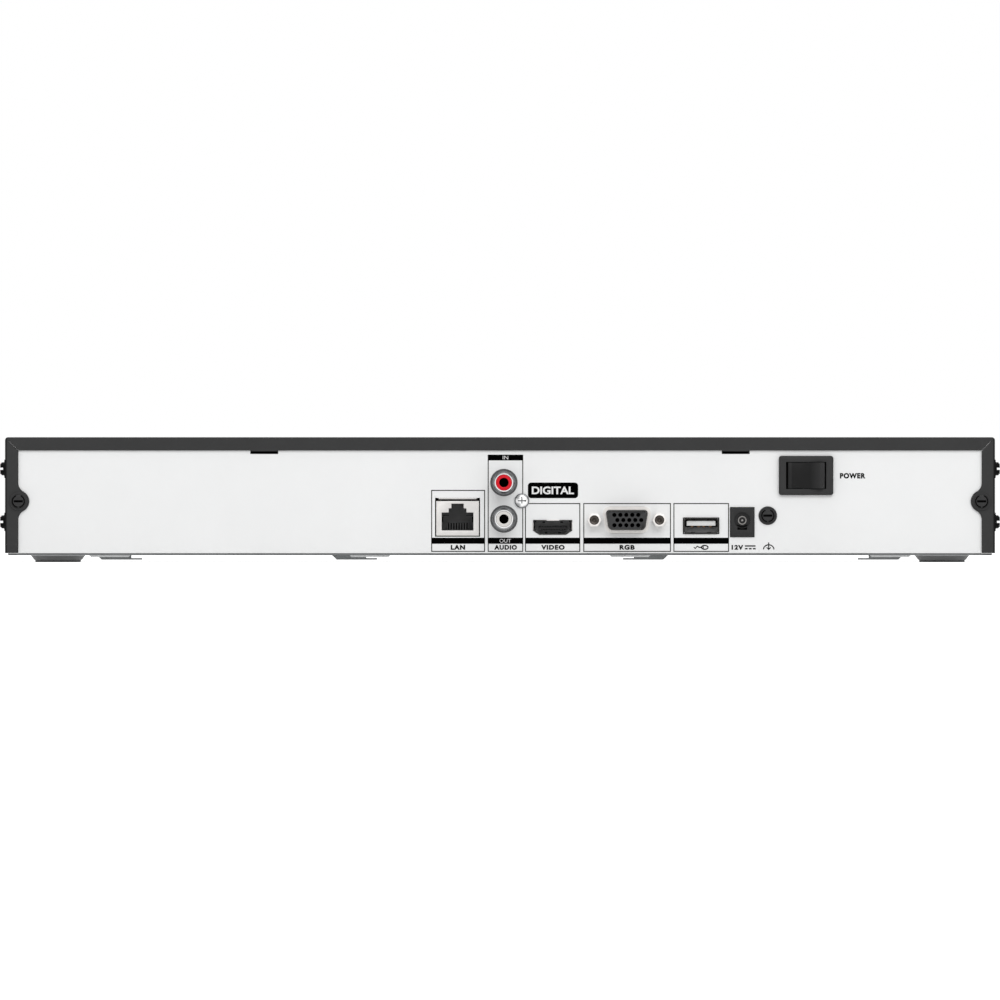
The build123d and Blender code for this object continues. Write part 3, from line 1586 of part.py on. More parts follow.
# Countersunk screws through the base, flush with its underside.
with BuildPart() as drive_screw:
    with BuildSketch(Plane.XZ):
        with BuildLine():
            Polyline(
                (0, ground_gap),
                (drive_screw_head, ground_gap),
                (drive_screw_shank, base_top),
                (drive_screw_shank, base_top + drive_screw_length - screw_gap),
                (0, base_top + drive_screw_length - screw_gap),
                close=True,
            )
        make_face()
    revolve(axis=Axis.Z)
    with BuildSketch(Plane.XY.offset(ground_gap)):
        Rectangle(pan_cross_length, pan_cross_width)
        Rectangle(pan_cross_width, pan_cross_length)
    extrude(amount=base_sheet / 2, mode=Mode.SUBTRACT)
drive_screws = group(drive_screw.part, [(x, y, 0) for x, y in drive_screw_places])
save("drive_screws", drive_screws)

# Plugs on the drives: a narrow one for data and a wide one for power on each.
with BuildPart() as drive_plugs:
    for side, middle, connector_x in drives:
        with BuildSketch(rear_plane(drive_rear_y)):
            with Locations((side * data_plug_shift - connector_x, connector_low)):
                Rectangle(data_plug_width, drive_connector_rise, align=(Align.CENTER, Align.MIN))
            with Locations((-side * power_plug_shift - connector_x, connector_low)):
                Rectangle(power_plug_width, drive_connector_rise, align=(Align.CENTER, Align.MIN))
        extrude(amount=plug_depth)
save("drive_plugs", drive_plugs)

# Sockets on the main board for the leads from the drives, the front, the fan and the switch.
with BuildPart() as board_sockets:
    with BuildSketch(Plane.XY.offset(board_top)):
        with Locations(*socket_places):
            Rectangle(socket_width, socket_depth)
    extrude(amount=socket_rise)
save("board_sockets", board_sockets)

# ---------------------------------------------------------------------------------------------
# Fan
# ---------------------------------------------------------------------------------------------

fan_middle_z = base_top + fan_size / 2
fan_outer_x = wall_face_x
fan_inner_x = fan_outer_x - fan_thickness
hub_back_x = fan_inner_x + fan_strut
hub_depth = fan_thickness - fan_strut - 2 * hub_clearance
fan_hole_places = [
    (fan_y + along, fan_middle_z + up)
    for along in (-fan_hole_spacing / 2, fan_hole_spacing / 2)
    for up in (-fan_hole_spacing / 2, fan_hole_spacing / 2)
]

# Fan frame: a square duct with a motor plate on four struts, and the axle on the plate.
with BuildPart() as fan_frame:
    with BuildSketch(side_plane(fan_inner_x)):
        with Locations((fan_y, fan_middle_z)):
            RectangleRounded(fan_size, fan_size, fan_corner)
        with Locations((fan_y, fan_middle_z)):
            Circle(fan_bore, mode=Mode.SUBTRACT)
        with Locations(*fan_hole_places):
            Circle(pan_shank_radius + screw_gap, mode=Mode.SUBTRACT)
    extrude(amount=fan_thickness)
    with BuildSketch(side_plane(fan_inner_x)):
        with Locations((fan_y, fan_middle_z)):
            Circle(fan_hub)
            Rectangle(fan_strut_width, 2 * fan_bore + fan_strut, rotation=45)
            Rectangle(fan_strut_width, 2 * fan_bore + fan_strut, rotation=-45)
    extrude(amount=fan_strut)
    with BuildSketch(side_plane(hub_back_x)):
        with Locations((fan_y, fan_middle_z)):
            Circle(axle_radius)
    extrude(amount=hub_clearance + hub_depth / 2)
save("fan_frame", fan_frame)

# Impeller: a cup on the axle with pitched blades.
with BuildPart() as fan_impeller:
    with BuildSketch(side_plane(hub_back_x + hub_clearance)):
        with Locations((fan_y, fan_middle_z)):
            Circle(fan_hub)
    extrude(amount=hub_depth)
    fillet(fan_impeller.edges().sort_by(Axis.X)[-1], radius=blade_sheet)
    for number in range(blade_count):
        hub_middle = Vector(hub_back_x + hub_clearance + hub_depth / 2, fan_y, fan_middle_z)
        outward = Vector(0, 0, 1).rotate(Axis.X, number * 360 / blade_count)
        with BuildSketch(Plane(origin=hub_middle, x_dir=(1, 0, 0), z_dir=outward)):
            Rectangle(blade_chord, blade_sheet, rotation=blade_pitch)
        extrude(amount=blade_reach)
    with BuildSketch(side_plane(hub_back_x + hub_clearance)):
        with Locations((fan_y, fan_middle_z)):
            Circle(axle_radius + running_gap)
    extrude(amount=hub_depth / 2 + hub_clearance, mode=Mode.SUBTRACT)
save("fan_impeller", fan_impeller)

fan_screws = group(
    pan_screw(fan_screw_length),
    [
        Plane(origin=(base_half, along, up), x_dir=(0, 1, 0), z_dir=(1, 0, 0))
        for along, up in fan_hole_places
    ],
)
save("fan_screws", fan_screws)

# ---------------------------------------------------------------------------------------------
# Bezel screws and leads
# ---------------------------------------------------------------------------------------------

bezel_screws = group(
    pan_screw(bezel_screw_length),
    [
        Plane(origin=(-across, front_wall_y, height), x_dir=(1, 0, 0), z_dir=(0, 1, 0))
        for across, height in bezel_screw_places
    ],
)
save("bezel_screws", bezel_screws)

# Data and power leads arch from the drives' plugs into the board's sockets.
plug_y = drive_rear_y + plug_depth / 2
plug_top = connector_low + drive_connector_rise
data_plug_x = drive_across - drive_connector_shift - data_plug_shift
power_plug_x = drive_across - drive_connector_shift + power_plug_shift
near_course = [(0, 24), (0.3, 35), (0.65, 38), (1, 31)]
far_course = [(0, 24), (0.18, 35), (0.56, 38), (0.9, 36), (1, 29)]
with BuildPart() as drive_data_leads:
    for plug_x, socket_x, course in (
        (-data_plug_x, data_socket_columns[0], near_course),
        (data_plug_x, data_socket_columns[1], far_course),
    ):
        start = (plug_x, plug_y)
        end = (socket_x, socket_row_y)
        over = rise_and_cross(start, end, course)
        add(lead([(*start, plug_top), *over, (*end, socket_top)], thick_lead))
save("drive_data_leads", drive_data_leads)

near_course = [(0, 25), (0.27, 37), (0.68, 40), (1, 32)]
far_course = [(0, 27), (0.16, 39), (0.5, 43), (0.84, 42), (1, 32)]
with BuildPart() as drive_power_leads:
    for plug_x, socket_x, course in (
        (-power_plug_x, power_socket_columns[0], near_course),
        (power_plug_x, power_socket_columns[1], far_course),
    ):
        start = (plug_x, plug_y)
        end = (socket_x, socket_row_y)
        over = rise_and_cross(start, end, course)
        add(lead([(*start, plug_top), *over, (*end, socket_top)], thick_lead))
save("drive_power_leads", drive_power_leads)

# Front looms run between the drives from the lamp board and the USB board. The courses give X,
# the share of the drives' length passed, and the height.
lamp_edge_x = lamp_board_middle + lamp_board_width / 2
usb_edge_x = front_usb_across - front_usb_board_width / 2
lamp_loom_y = lamp_board_y + small_board / 2
usb_loom_y = front_usb_board_y + front_usb_board_depth / 2
usb_loom_z = front_usb_board_low + small_board / 2
lamp_course = [
    (-84, -0.066, 30),
    (-66, -0.053, 34),
    (-45, 0.07, 37),
    (-37, 0.3, 36),
    (-30, 0.56, 33),
    (-25, 0.79, 31),
    (-20, 0.99, 34),
]
usb_course = [
    (76, -0.053, 32),
    (50, 0.056, 36),
    (36, 0.29, 35),
    (25, 0.55, 32),
    (14, 0.78, 31),
    (4, 0.99, 35),
]
with BuildPart() as front_looms:
    add(
        lead(
            [
                (lamp_edge_x, lamp_loom_y, bezel_middle),
                (-102, lamp_loom_y, bezel_middle),
                *[(x, drive_front_y + share * drive_length, z) for x, share, z in lamp_course],
                (lamp_socket_x - 1, socket_row_y - 9.5, 37),
                (lamp_socket_x, socket_row_y, 32),
                (lamp_socket_x, socket_row_y, socket_top),
            ],
            thick_lead,
        )
    )
    add(
        lead(
            [
                (usb_edge_x, usb_loom_y, usb_loom_z),
                (112, usb_loom_y, usb_loom_z),
                (96, usb_loom_y + 1, 26),
                *[(x, drive_front_y + share * drive_length, z) for x, share, z in usb_course],
                (usb_socket_x + 2, socket_row_y - 10.5, 38),
                (usb_socket_x, socket_row_y, 32),
                (usb_socket_x, socket_row_y, socket_top),
            ],
            thick_lead,
        )
    )
save("front_looms", front_looms)

# Fan lead: low across the base, then up and over the board's edge into its socket.
fan_start = (fan_inner_x - 9, fan_y - fan_bore * 2 / 3)
fan_exit_z = fan_middle_z - fan_bore
fan_end = (fan_socket_x, socket_row_y)
fan_course = [
    (0.05, fan_exit_z + 0.6),
    (0.12, 6.5),
    (0.28, 6),
    (0.48, 6.2),
    (0.66, 8),
    (0.79, 19),
    (0.86, 33),
    (0.93, 40.5),
    (0.985, 37),
    (1, 28),
]
with BuildPart() as fan_lead:
    over = rise_and_cross(fan_start, fan_end, fan_course)
    add(
        lead(
            [
                (fan_inner_x, fan_start[1], fan_exit_z + 0.6),
                *over,
                (*fan_end, socket_top),
            ],
            thin_lead,
        )
    )
save("fan_lead", fan_lead)

terminal_end_y = switch_back_y - terminal_length
with BuildPart() as switch_leads:
    for side in (-1, 1):
        terminal_x = -switch_across + side * terminal_spacing / 2
        entry_x = switch_socket_x + side * socket_width / 4
        add(
            lead(
                [
                    (terminal_x, terminal_end_y, switch_height),
                    (terminal_x, terminal_end_y - 8, switch_height),
                    (terminal_x + 9, terminal_end_y - 15 + 3 * side, switch_height + 1 + 2 * side),
                    (entry_x, switch_socket_y, switch_height + thin_lead * side),
                    (entry_x, switch_socket_y, socket_top),
                ],
                thin_lead,
            )
        )
save("switch_leads", switch_leads)
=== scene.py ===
import math

import bpy
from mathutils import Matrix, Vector


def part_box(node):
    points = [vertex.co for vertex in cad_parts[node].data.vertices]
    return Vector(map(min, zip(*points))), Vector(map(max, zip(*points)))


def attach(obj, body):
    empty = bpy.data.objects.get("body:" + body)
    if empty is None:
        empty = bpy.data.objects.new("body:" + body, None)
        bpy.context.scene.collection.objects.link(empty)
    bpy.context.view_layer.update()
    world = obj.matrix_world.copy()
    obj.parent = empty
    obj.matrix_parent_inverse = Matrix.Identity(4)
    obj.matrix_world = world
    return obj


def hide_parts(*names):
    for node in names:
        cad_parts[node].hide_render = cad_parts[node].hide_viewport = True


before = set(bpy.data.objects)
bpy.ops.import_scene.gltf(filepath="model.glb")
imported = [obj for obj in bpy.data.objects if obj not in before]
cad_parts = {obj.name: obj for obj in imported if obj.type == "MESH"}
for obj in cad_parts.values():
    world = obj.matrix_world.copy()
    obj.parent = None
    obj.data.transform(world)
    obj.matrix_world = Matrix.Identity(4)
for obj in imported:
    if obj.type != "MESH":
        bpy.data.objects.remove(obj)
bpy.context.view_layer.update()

# --------------------------------------
# Studio
# A pale floor under a white surround, with two large soft boxes above the recorder's rear and
# front, and a camera far behind the rear panel, level with its middle.
# --------------------------------------

scene = bpy.context.scene
scene.view_settings.view_transform = "Standard"

seen_white = 1.0
fill_light = 0.62
white = (1, 1, 1, 1)
black = (0, 0, 0, 1)


def tree_of(owner):
    """The nodes and links of a material or a world."""
    return owner.node_tree.nodes, owner.node_tree.links


def added(nodes, kind, **values):
    """A new shader node with some of its inputs set."""
    node = nodes.new(kind)
    for name, value in values.items():
        node.inputs[name].default_value = value
    return node


def combined(nodes, links, operation, first, second):
    """A maths node on two outputs, such as the greater of them or their product."""
    join = nodes.new("ShaderNodeMath")
    join.operation = operation
    links.new(first, join.inputs[0])
    links.new(second, join.inputs[1])
    return join.outputs[0]


def seen_directly(nodes, links):
    """1 for rays that show the background itself, in the view, in gloss or through glass."""
    path = nodes.new("ShaderNodeLightPath").outputs
    seen = combined(nodes, links, "MAXIMUM", path["Is Camera Ray"], path["Is Glossy Ray"])
    return combined(nodes, links, "MAXIMUM", seen, path["Is Transmission Ray"])


world = bpy.data.worlds.new("studio_surround")
scene.world = world
world.use_nodes = True
nodes, links = tree_of(world)
nodes.clear()
surround_light = added(nodes, "ShaderNodeBackground", Color=white, Strength=fill_light)
surround_seen = added(nodes, "ShaderNodeBackground", Color=white, Strength=seen_white)
surround_mix = nodes.new("ShaderNodeMixShader")
surround_out = nodes.new("ShaderNodeOutputWorld")
links.new(seen_directly(nodes, links), surround_mix.inputs["Fac"])
links.new(surround_light.outputs[0], surround_mix.inputs[1])
links.new(surround_seen.outputs[0], surround_mix.inputs[2])
links.new(surround_mix.outputs[0], surround_out.inputs["Surface"])

floor_size = 60.0
floor_lit = (0.8, 0.8, 0.8, 1)
floor_shown = (0.48, 0.48, 0.48, 1)
floor_glow = 0.825
bpy.ops.mesh.primitive_plane_add(size=floor_size, location=(0, 0, 0))
floor = bpy.context.object
floor.name = "studio_floor"
floor_paint = bpy.data.materials.new("studio_floor_paint")
floor_paint.use_nodes = True
nodes, links = tree_of(floor_paint)
nodes.clear()
matt = added(nodes, "ShaderNodeBsdfDiffuse", Color=floor_lit)
shadow_matt = added(nodes, "ShaderNodeBsdfDiffuse", Color=floor_shown)
glow = added(nodes, "ShaderNodeEmission", Color=white, Strength=floor_glow)
shown = nodes.new("ShaderNodeAddShader")
floor_mix = nodes.new("ShaderNodeMixShader")
floor_out = nodes.new("ShaderNodeOutputMaterial")
links.new(shadow_matt.outputs[0], shown.inputs[0])
links.new(glow.outputs[0], shown.inputs[1])
links.new(seen_directly(nodes, links), floor_mix.inputs["Fac"])
links.new(matt.outputs[0], floor_mix.inputs[1])
links.new(shown.outputs[0], floor_mix.inputs[2])
links.new(floor_mix.outputs[0], floor_out.inputs["Surface"])
floor.data.materials.append(floor_paint)


def soft_box(name, place, width, height, power):
    """A rectangular soft light that faces the recorder's middle."""
    light = bpy.data.lights.new(name, "AREA")
    light.shape = "RECTANGLE"
    light.size, light.size_y, light.energy = width, height, power
    box = bpy.data.objects.new(name, light)
    scene.collection.objects.link(box)
    box.location = place
    box.rotation_euler = (Vector(place) - Vector((0, 0, 0.02))).to_track_quat("Z", "Y").to_euler()


soft_box("rear_soft_box", (-0.5, 2.3, 1.5), 2.4, 1.2, 28)
soft_box("front_soft_box", (0.7, -2.3, 1.6), 2.4, 1.2, 26)
soft_box("top_soft_box", (0.0, 0.1, 2.6), 2.0, 1.4, 12)

camera_distance = 17.06
view_width = 0.3839
middle_height = 0.0239
rear_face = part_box("rear_panel")[1].y
camera_data = bpy.data.cameras.new("view")
camera_data.sensor_width = 36.0
camera_data.lens = camera_data.sensor_width * camera_distance / view_width
camera_data.clip_start, camera_data.clip_end = 0.1, 60.0
camera = bpy.data.objects.new("view", camera_data)
scene.collection.objects.link(camera)
camera.location = (0, rear_face + camera_distance, middle_height)
camera.rotation_euler = (math.radians(90), 0, math.radians(180))
scene.camera = camera

# --------------------------------------
# Base pan
# Galvanised sheet, folded up at the sides and in front, with dished feet, beads and pockets
# pressed into its floor. The zinc has faint spangles. It carries painted light below its floor, a
# painted highlight on the ends of the rear beads, and painted shade on the feet.
# --------------------------------------

mm = 0.001


def fine_surface_group():
    """Grain and clouding that most of the recorder's finishes share."""
    group = bpy.data.node_groups.new("fine_surface", "ShaderNodeTree")
    for name, way, kind in (
        ("Vector", "INPUT", "NodeSocketVector"),
        ("Grain per metre", "INPUT", "NodeSocketFloat"),
        ("Clouds per metre", "INPUT", "NodeSocketFloat"),
        ("Grain", "OUTPUT", "NodeSocketFloat"),
        ("Clouds", "OUTPUT", "NodeSocketFloat"),
    ):
        group.interface.new_socket(name, in_out=way, socket_type=kind)
    nodes, links = group.nodes, group.links
    given = nodes.new("NodeGroupInput")
    made = nodes.new("NodeGroupOutput")
    for detail, scale, out in (
        (2.0, "Grain per metre", "Grain"),
        (5.0, "Clouds per metre", "Clouds"),
    ):
        texture = added(nodes, "ShaderNodeTexNoise", Detail=detail, Roughness=0.6)
        links.new(given.outputs["Vector"], texture.inputs["Vector"])
        links.new(given.outputs[scale], texture.inputs["Scale"])
        links.new(texture.outputs["Fac"], made.inputs[out])
    return group


fine_surface = fine_surface_group()


def shade(color, factor):
    """A linear colour made lighter or darker by a factor."""
    return tuple(min(1.0, channel * factor) for channel in color[:3]) + (1.0,)


def finish(
    name,
    color,
    roughness,
    metallic=0.0,
    grain=4000.0,
    depth=0.008 * mm,
    clouds=40.0,
    spread=0.06,
    gloss_spread=0.08,
    stretch=(1, 1, 1),
    coat=0.0,
    specular=0.5,
):
    """A finish with grain in its relief, and clouding in its colour and roughness."""
    paint = bpy.data.materials.new(name)
    paint.use_nodes = True
    nodes, links = tree_of(paint)
    body = nodes["Principled BSDF"]
    body.inputs["Metallic"].default_value = metallic
    body.inputs["Coat Weight"].default_value = coat
    body.inputs["Specular IOR Level"].default_value = specular
    place = nodes.new("ShaderNodeTexCoord")
    turn = added(nodes, "ShaderNodeMapping", Scale=stretch)
    links.new(place.outputs["Object"], turn.inputs["Vector"])
    surface = nodes.new("ShaderNodeGroup")
    surface.name = "surface"
    surface.node_tree = fine_surface
    surface.inputs["Grain per metre"].default_value = grain
    surface.inputs["Clouds per metre"].default_value = clouds
    links.new(turn.outputs["Vector"], surface.inputs["Vector"])
    tone = nodes.new("ShaderNodeValToRGB")
    tone.name = "tone"
    tone.color_ramp.elements[0].position = 0.32
    tone.color_ramp.elements[0].color = shade(color, 1 - spread)
    tone.color_ramp.elements[1].position = 0.68
    tone.color_ramp.elements[1].color = shade(color, 1 + spread)
    links.new(surface.outputs["Clouds"], tone.inputs["Fac"])
    links.new(tone.outputs["Color"], body.inputs["Base Color"])
    gloss = nodes.new("ShaderNodeMapRange")
    gloss.inputs["To Min"].default_value = max(0.02, roughness - gloss_spread)
    gloss.inputs["To Max"].default_value = min(1.0, roughness + gloss_spread)
    links.new(surface.outputs["Clouds"], gloss.inputs["Value"])
    links.new(gloss.outputs["Result"], body.inputs["Roughness"])
    relief = nodes.new("ShaderNodeBump")
    relief.name = "relief"
    relief.inputs["Distance"].default_value = depth
    links.new(surface.outputs["Grain"], relief.inputs["Height"])
    links.new(relief.outputs["Normal"], body.inputs["Normal"])
    return paint


def overlay(paint, mask, color):
    """Lays a second colour over a finish where a mask is 1."""
    nodes, links = tree_of(paint)
    body = nodes["Principled BSDF"]
    under = body.inputs["Base Color"].links[0].from_socket
    mix = nodes.new("ShaderNodeMix")
    mix.data_type = "RGBA"
    links.new(mask, mix.inputs["Factor"])
    links.new(under, mix.inputs["A"])
    mix.inputs["B"].default_value = color
    links.new(mix.outputs["Result"], body.inputs["Base Color"])


def beyond(paint, axis, edge, soft, above=True):
    """A mask that is 1 where an object coordinate lies beyond an edge, with a soft border."""
    nodes, links = tree_of(paint)
    place = nodes.new("ShaderNodeTexCoord")
    split = nodes.new("ShaderNodeSeparateXYZ")
    links.new(place.outputs["Object"], split.inputs[0])
    step = nodes.new("ShaderNodeMapRange")
    low, high = (edge - soft, edge + soft) if above else (edge + soft, edge - soft)
    step.inputs["From Min"].default_value = low
    step.inputs["From Max"].default_value = high
    links.new(split.outputs[axis], step.inputs["Value"])
    return step.outputs["Result"]


def both_masks(paint, first, second, operation="MULTIPLY"):
    """Two masks joined: where both hold, or with MAXIMUM where either does."""
    return combined(*tree_of(paint), operation, first, second)


def dress(node, paint):
    """Gives a CAD node its finish."""
    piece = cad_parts[node]
    piece.data.materials.clear()
    piece.data.materials.append(paint)


zinc = finish(
    "galvanised_sheet", (0.34, 0.35, 0.36), 0.5, metallic=0.4, grain=900, clouds=150, spread=0.12,
)
nodes, links = tree_of(zinc)
spangle = added(nodes, "ShaderNodeTexVoronoi", Scale=240.0)
place = nodes.new("ShaderNodeTexCoord")
links.new(place.outputs["Object"], spangle.inputs["Vector"])
spangle_gray = nodes.new("ShaderNodeRGBToBW")
links.new(spangle.outputs["Color"], spangle_gray.inputs[0])
spangle_mask = nodes.new("ShaderNodeMath")
spangle_mask.operation = "MULTIPLY"
spangle_mask.inputs[1].default_value = 0.35
links.new(spangle_gray.outputs[0], spangle_mask.inputs[0])
overlay(zinc, spangle_mask.outputs[0], (0.34, 0.35, 0.36, 1))
floor_top = 2.75 * mm
bead_depth = 1.9 * mm
rear_beads = 96 * mm
foot_top = 2.5 * mm
foot_inner = 158.0 * mm
# Painted light below the floor, a painted highlight on the rear beads' ends, painted shade on the
# feet.
underside_painted_light = beyond(zinc, "Z", floor_top, 0.15 * mm, above=False)
overlay(zinc, underside_painted_light, (0.46, 0.475, 0.48, 1))
bead_end_painted_highlight = both_masks(zinc, underside_painted_light, beyond(zinc, "Y", rear_beads, 2 * mm))
bead_end_painted_highlight = both_masks(zinc, bead_end_painted_highlight, beyond(zinc, "Z", bead_depth, 0.1 * mm))
overlay(zinc, bead_end_painted_highlight, (0.92, 0.93, 0.93, 1))
foot_painted_shade = both_masks(
    zinc,
    beyond(zinc, "X", foot_inner, 0.3 * mm),
    beyond(zinc, "X", -foot_inner, 0.3 * mm, above=False),
    "MAXIMUM",
)
foot_painted_shade = both_masks(zinc, foot_painted_shade, beyond(zinc, "Z", foot_top, 0.15 * mm, above=False))
overlay(zinc, foot_painted_shade, (0.2, 0.202, 0.204, 1))
dress("base_pan", zinc)

# --------------------------------------
# Foot pads
# Moulded grey rubber discs stuck under the dished feet, matt and a little dusty. Their grey is
# partly painted light.
# --------------------------------------

pad_rubber_painted_light = finish(
    "rubber_painted_light", (0.34, 0.345, 0.35), 0.85, grain=2200, depth=0.03 * mm, clouds=300,
    spread=0.15,
)
dress("foot_pads", pad_rubber_painted_light)

# --------------------------------------
# Rivets and spacer nuts
# Pulled aluminium rivets hold the panel's feet to the base, and zinc-plated spacer nuts are
# clinched into the base's side walls for the cover's side screws.
# --------------------------------------

bright_zinc = finish(
    "bright_zinc", (0.55, 0.55, 0.54), 0.35, metallic=1.0, grain=3000, clouds=500, spread=0.08,
)
rivet_aluminium = finish(
    "rivet_aluminium", (0.68, 0.68, 0.69), 0.38, metallic=1.0, clouds=600, spread=0.06,
)
dress("panel_rivets", rivet_aluminium)
dress("side_spacers", bright_zinc)

# --------------------------------------
# Rear panel
# A flat sheet painted off-white, with the sockets' cut-outs and four feet riveted to the base.
# The paint has a very fine grain and slight clouding.
# --------------------------------------

panel_paint = finish(
    "panel_paint", (0.845, 0.85, 0.85), 0.5, grain=3500, depth=0.004 * mm, clouds=30,
    spread=0.012,
)
dress("rear_panel", panel_paint)

# --------------------------------------
# Printing on the rear panel
# Black ink laid on the paint by screen printing: a frame round each socket with a solid bar in
# it, plain words under the sockets, and signs for direct current and for the earth screw.
# --------------------------------------

ink_rise = 0.05 * mm
line = 0.34 * mm
ink_black = finish("black_ink", (0.0012, 0.0012, 0.0012), 0.7, clouds=900, spread=0.3, specular=0.0)
ink_white = finish("white_ink", (0.78, 0.78, 0.78), 0.5, clouds=900, spread=0.03)
facing_back = (math.radians(90), 0, math.radians(180))


def picked(piece):
    """Leaves one piece selected, and active."""
    bpy.ops.object.select_all(action="DESELECT")
    piece.select_set(True)
    bpy.context.view_layer.objects.active = piece


def open_mesh():
    """Opens the active piece's mesh with all of it selected."""
    bpy.ops.object.mode_set(mode="EDIT")
    bpy.ops.mesh.select_all(action="SELECT")


def close_mesh():
    """Leaves the mesh that was opened."""
    bpy.ops.object.mode_set(mode="OBJECT")


def applied(location=False, rotation=False, scale=False):
    """Fixes parts of the selected piece's place in its mesh."""
    bpy.ops.object.transform_apply(location=location, rotation=rotation, scale=scale)


def settle(piece, name, paint, body="case"):
    """Names a finished piece, fixes its place in its mesh, paints it and lets it ride."""
    picked(piece)
    applied(location=True, rotation=True, scale=True)
    piece.name = name
    piece.data.name = name
    piece.data.materials.clear()
    piece.data.materials.append(paint)
    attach(piece, body)
    return piece


def joined(pieces):
    """Several meshes as one object."""
    bpy.ops.object.select_all(action="DESELECT")
    for piece in pieces:
        piece.select_set(True)
    bpy.context.view_layer.objects.active = pieces[0]
    bpy.ops.object.join()
    return bpy.context.object


def ink_block(left, right, low, high, hollow=0.0, corner=0.0):
    """A printed rectangle by its sides seen from behind, in mm, or its outline, or rounded."""
    bpy.ops.mesh.primitive_plane_add(
        size=1,
        location=(-(left + right) / 2 * mm, rear_face, (low + high) / 2 * mm),
        rotation=facing_back,
    )
    printed = bpy.context.object
    printed.scale = ((right - left) * mm, (high - low) * mm, 1)
    applied(scale=True)
    open_mesh()
    if hollow:
        bpy.ops.mesh.inset(thickness=hollow)
        bpy.ops.mesh.delete(type="FACE")
        bpy.ops.mesh.select_all(action="SELECT")
    if corner:
        bpy.ops.mesh.bevel(offset=corner * mm, segments=6, affect="VERTICES")
        bpy.ops.mesh.select_all(action="SELECT")
    bpy.ops.mesh.extrude_region_move(TRANSFORM_OT_translate={"value": (0, ink_rise, 0)})
    close_mesh()
    return printed


def ink_word(text, left, right, low, high, base=0.0, bold=0.0, spacing=1.0):
    """A printed word fitted to a rectangle as seen from behind, in mm."""
    bpy.ops.object.text_add(rotation=facing_back)
    word = bpy.context.object
    word.data.body = text
    word.data.offset = bold
    word.data.space_character = spacing
    word.data.extrude = 0.01
    word.data.resolution_u = 6
    bpy.ops.object.convert(target="MESH")
    word = bpy.context.object
    applied(rotation=True)
    corners = [Vector(corner) for corner in word.bound_box]
    lowest = Vector(min(c[i] for c in corners) for i in range(3))
    highest = Vector(max(c[i] for c in corners) for i in range(3))
    size = highest - lowest
    word.scale = ((right - left) * mm / size.x, ink_rise / size.y, (high - low) * mm / size.z)
    word.location = (
        -right * mm - lowest.x * word.scale.x,
        rear_face + base - lowest.y * word.scale.y,
        low * mm - lowest.z * word.scale.z,
    )
    applied(location=True, scale=True)
    return word


def ink_stroke(points, width):
    """A printed line through points given as (across, height) in mm, seen from behind."""
    curve = bpy.data.curves.new("stroke", "CURVE")
    curve.dimensions = "3D"
    run = curve.splines.new("POLY")
    run.points.add(len(points) - 1)
    for knot, (across, height) in zip(run.points, points):
        knot.co = (-across * mm, 0, height * mm, 1)
    curve.bevel_depth = width * mm / 2
    curve.bevel_resolution = 2
    curve.use_fill_caps = True
    stroke = bpy.data.objects.new("stroke", curve)
    scene.collection.objects.link(stroke)
    picked(stroke)
    bpy.ops.object.convert(target="MESH")
    stroke = bpy.context.object
    stroke.scale = (1, ink_rise / (width * mm), 1)
    stroke.location = (0, rear_face + ink_rise / 2, 0)
    applied(location=True, scale=True)
    return stroke


def arc(across, height, wide, high, angles):
    """Points round an oval, by its middle and half sizes in mm and by angles in degrees."""
    return [
        (across + wide * math.cos(turn), height + high * math.sin(turn))
        for turn in (math.radians(angle) for angle in angles)
    ]


# Frames: left, right, low and high sides of each socket's field, then the bars in them.
socket_fields = [
    (-26.4, -5.76, 4.0, 27.75),
    (-4.7, 8.9, 4.0, 41.3),
    (9.6, 30.8, 4.0, 22.7),
    (32.0, 65.6, 4.0, 22.7),
    (66.6, 87.9, 4.0, 22.7),
]
bar_low, bar_high = 7.1, 9.42
top_bar_low = 39.1
blocks = [ink_block(*field, hollow=line) for field in socket_fields]
blocks += [ink_block(left, right, bar_low, bar_high) for left, right, _, _ in socket_fields]
audio_left, audio_right, _, audio_top = socket_fields[1]
blocks.append(ink_block(audio_left, audio_right, top_bar_low, audio_top))
settle(joined(blocks), "printed_frames", ink_black)

words = [
    ink_word(text, left, right, low, high, bold=0.055, spacing=1.17)
    for text, left, right, low, high in (
        ("LAN", -18.9, -13.4, 4.8, 6.65),
        ("AUDIO", -2.2, 6.5, 4.8, 6.65),
        ("VIDEO", 15.8, 24.8, 4.8, 6.65),
        ("RGB", 45.9, 51.7, 4.8, 6.65),
        ("12V", 88.9, 93.4, 4.8, 6.65),
        ("POWER", 130.5, 140.3, 32.15, 34.25),
    )
]
settle(joined(words), "printed_words", ink_black)

bar_words = [
    ink_word("IN", 1.05, 3.15, 39.5, 40.9, base=ink_rise, bold=-0.005),
    ink_word("OUT", -0.15, 4.2, 7.55, 8.95, base=ink_rise, bold=-0.005),
]
settle(joined(bar_words), "printed_bar_words", ink_white)

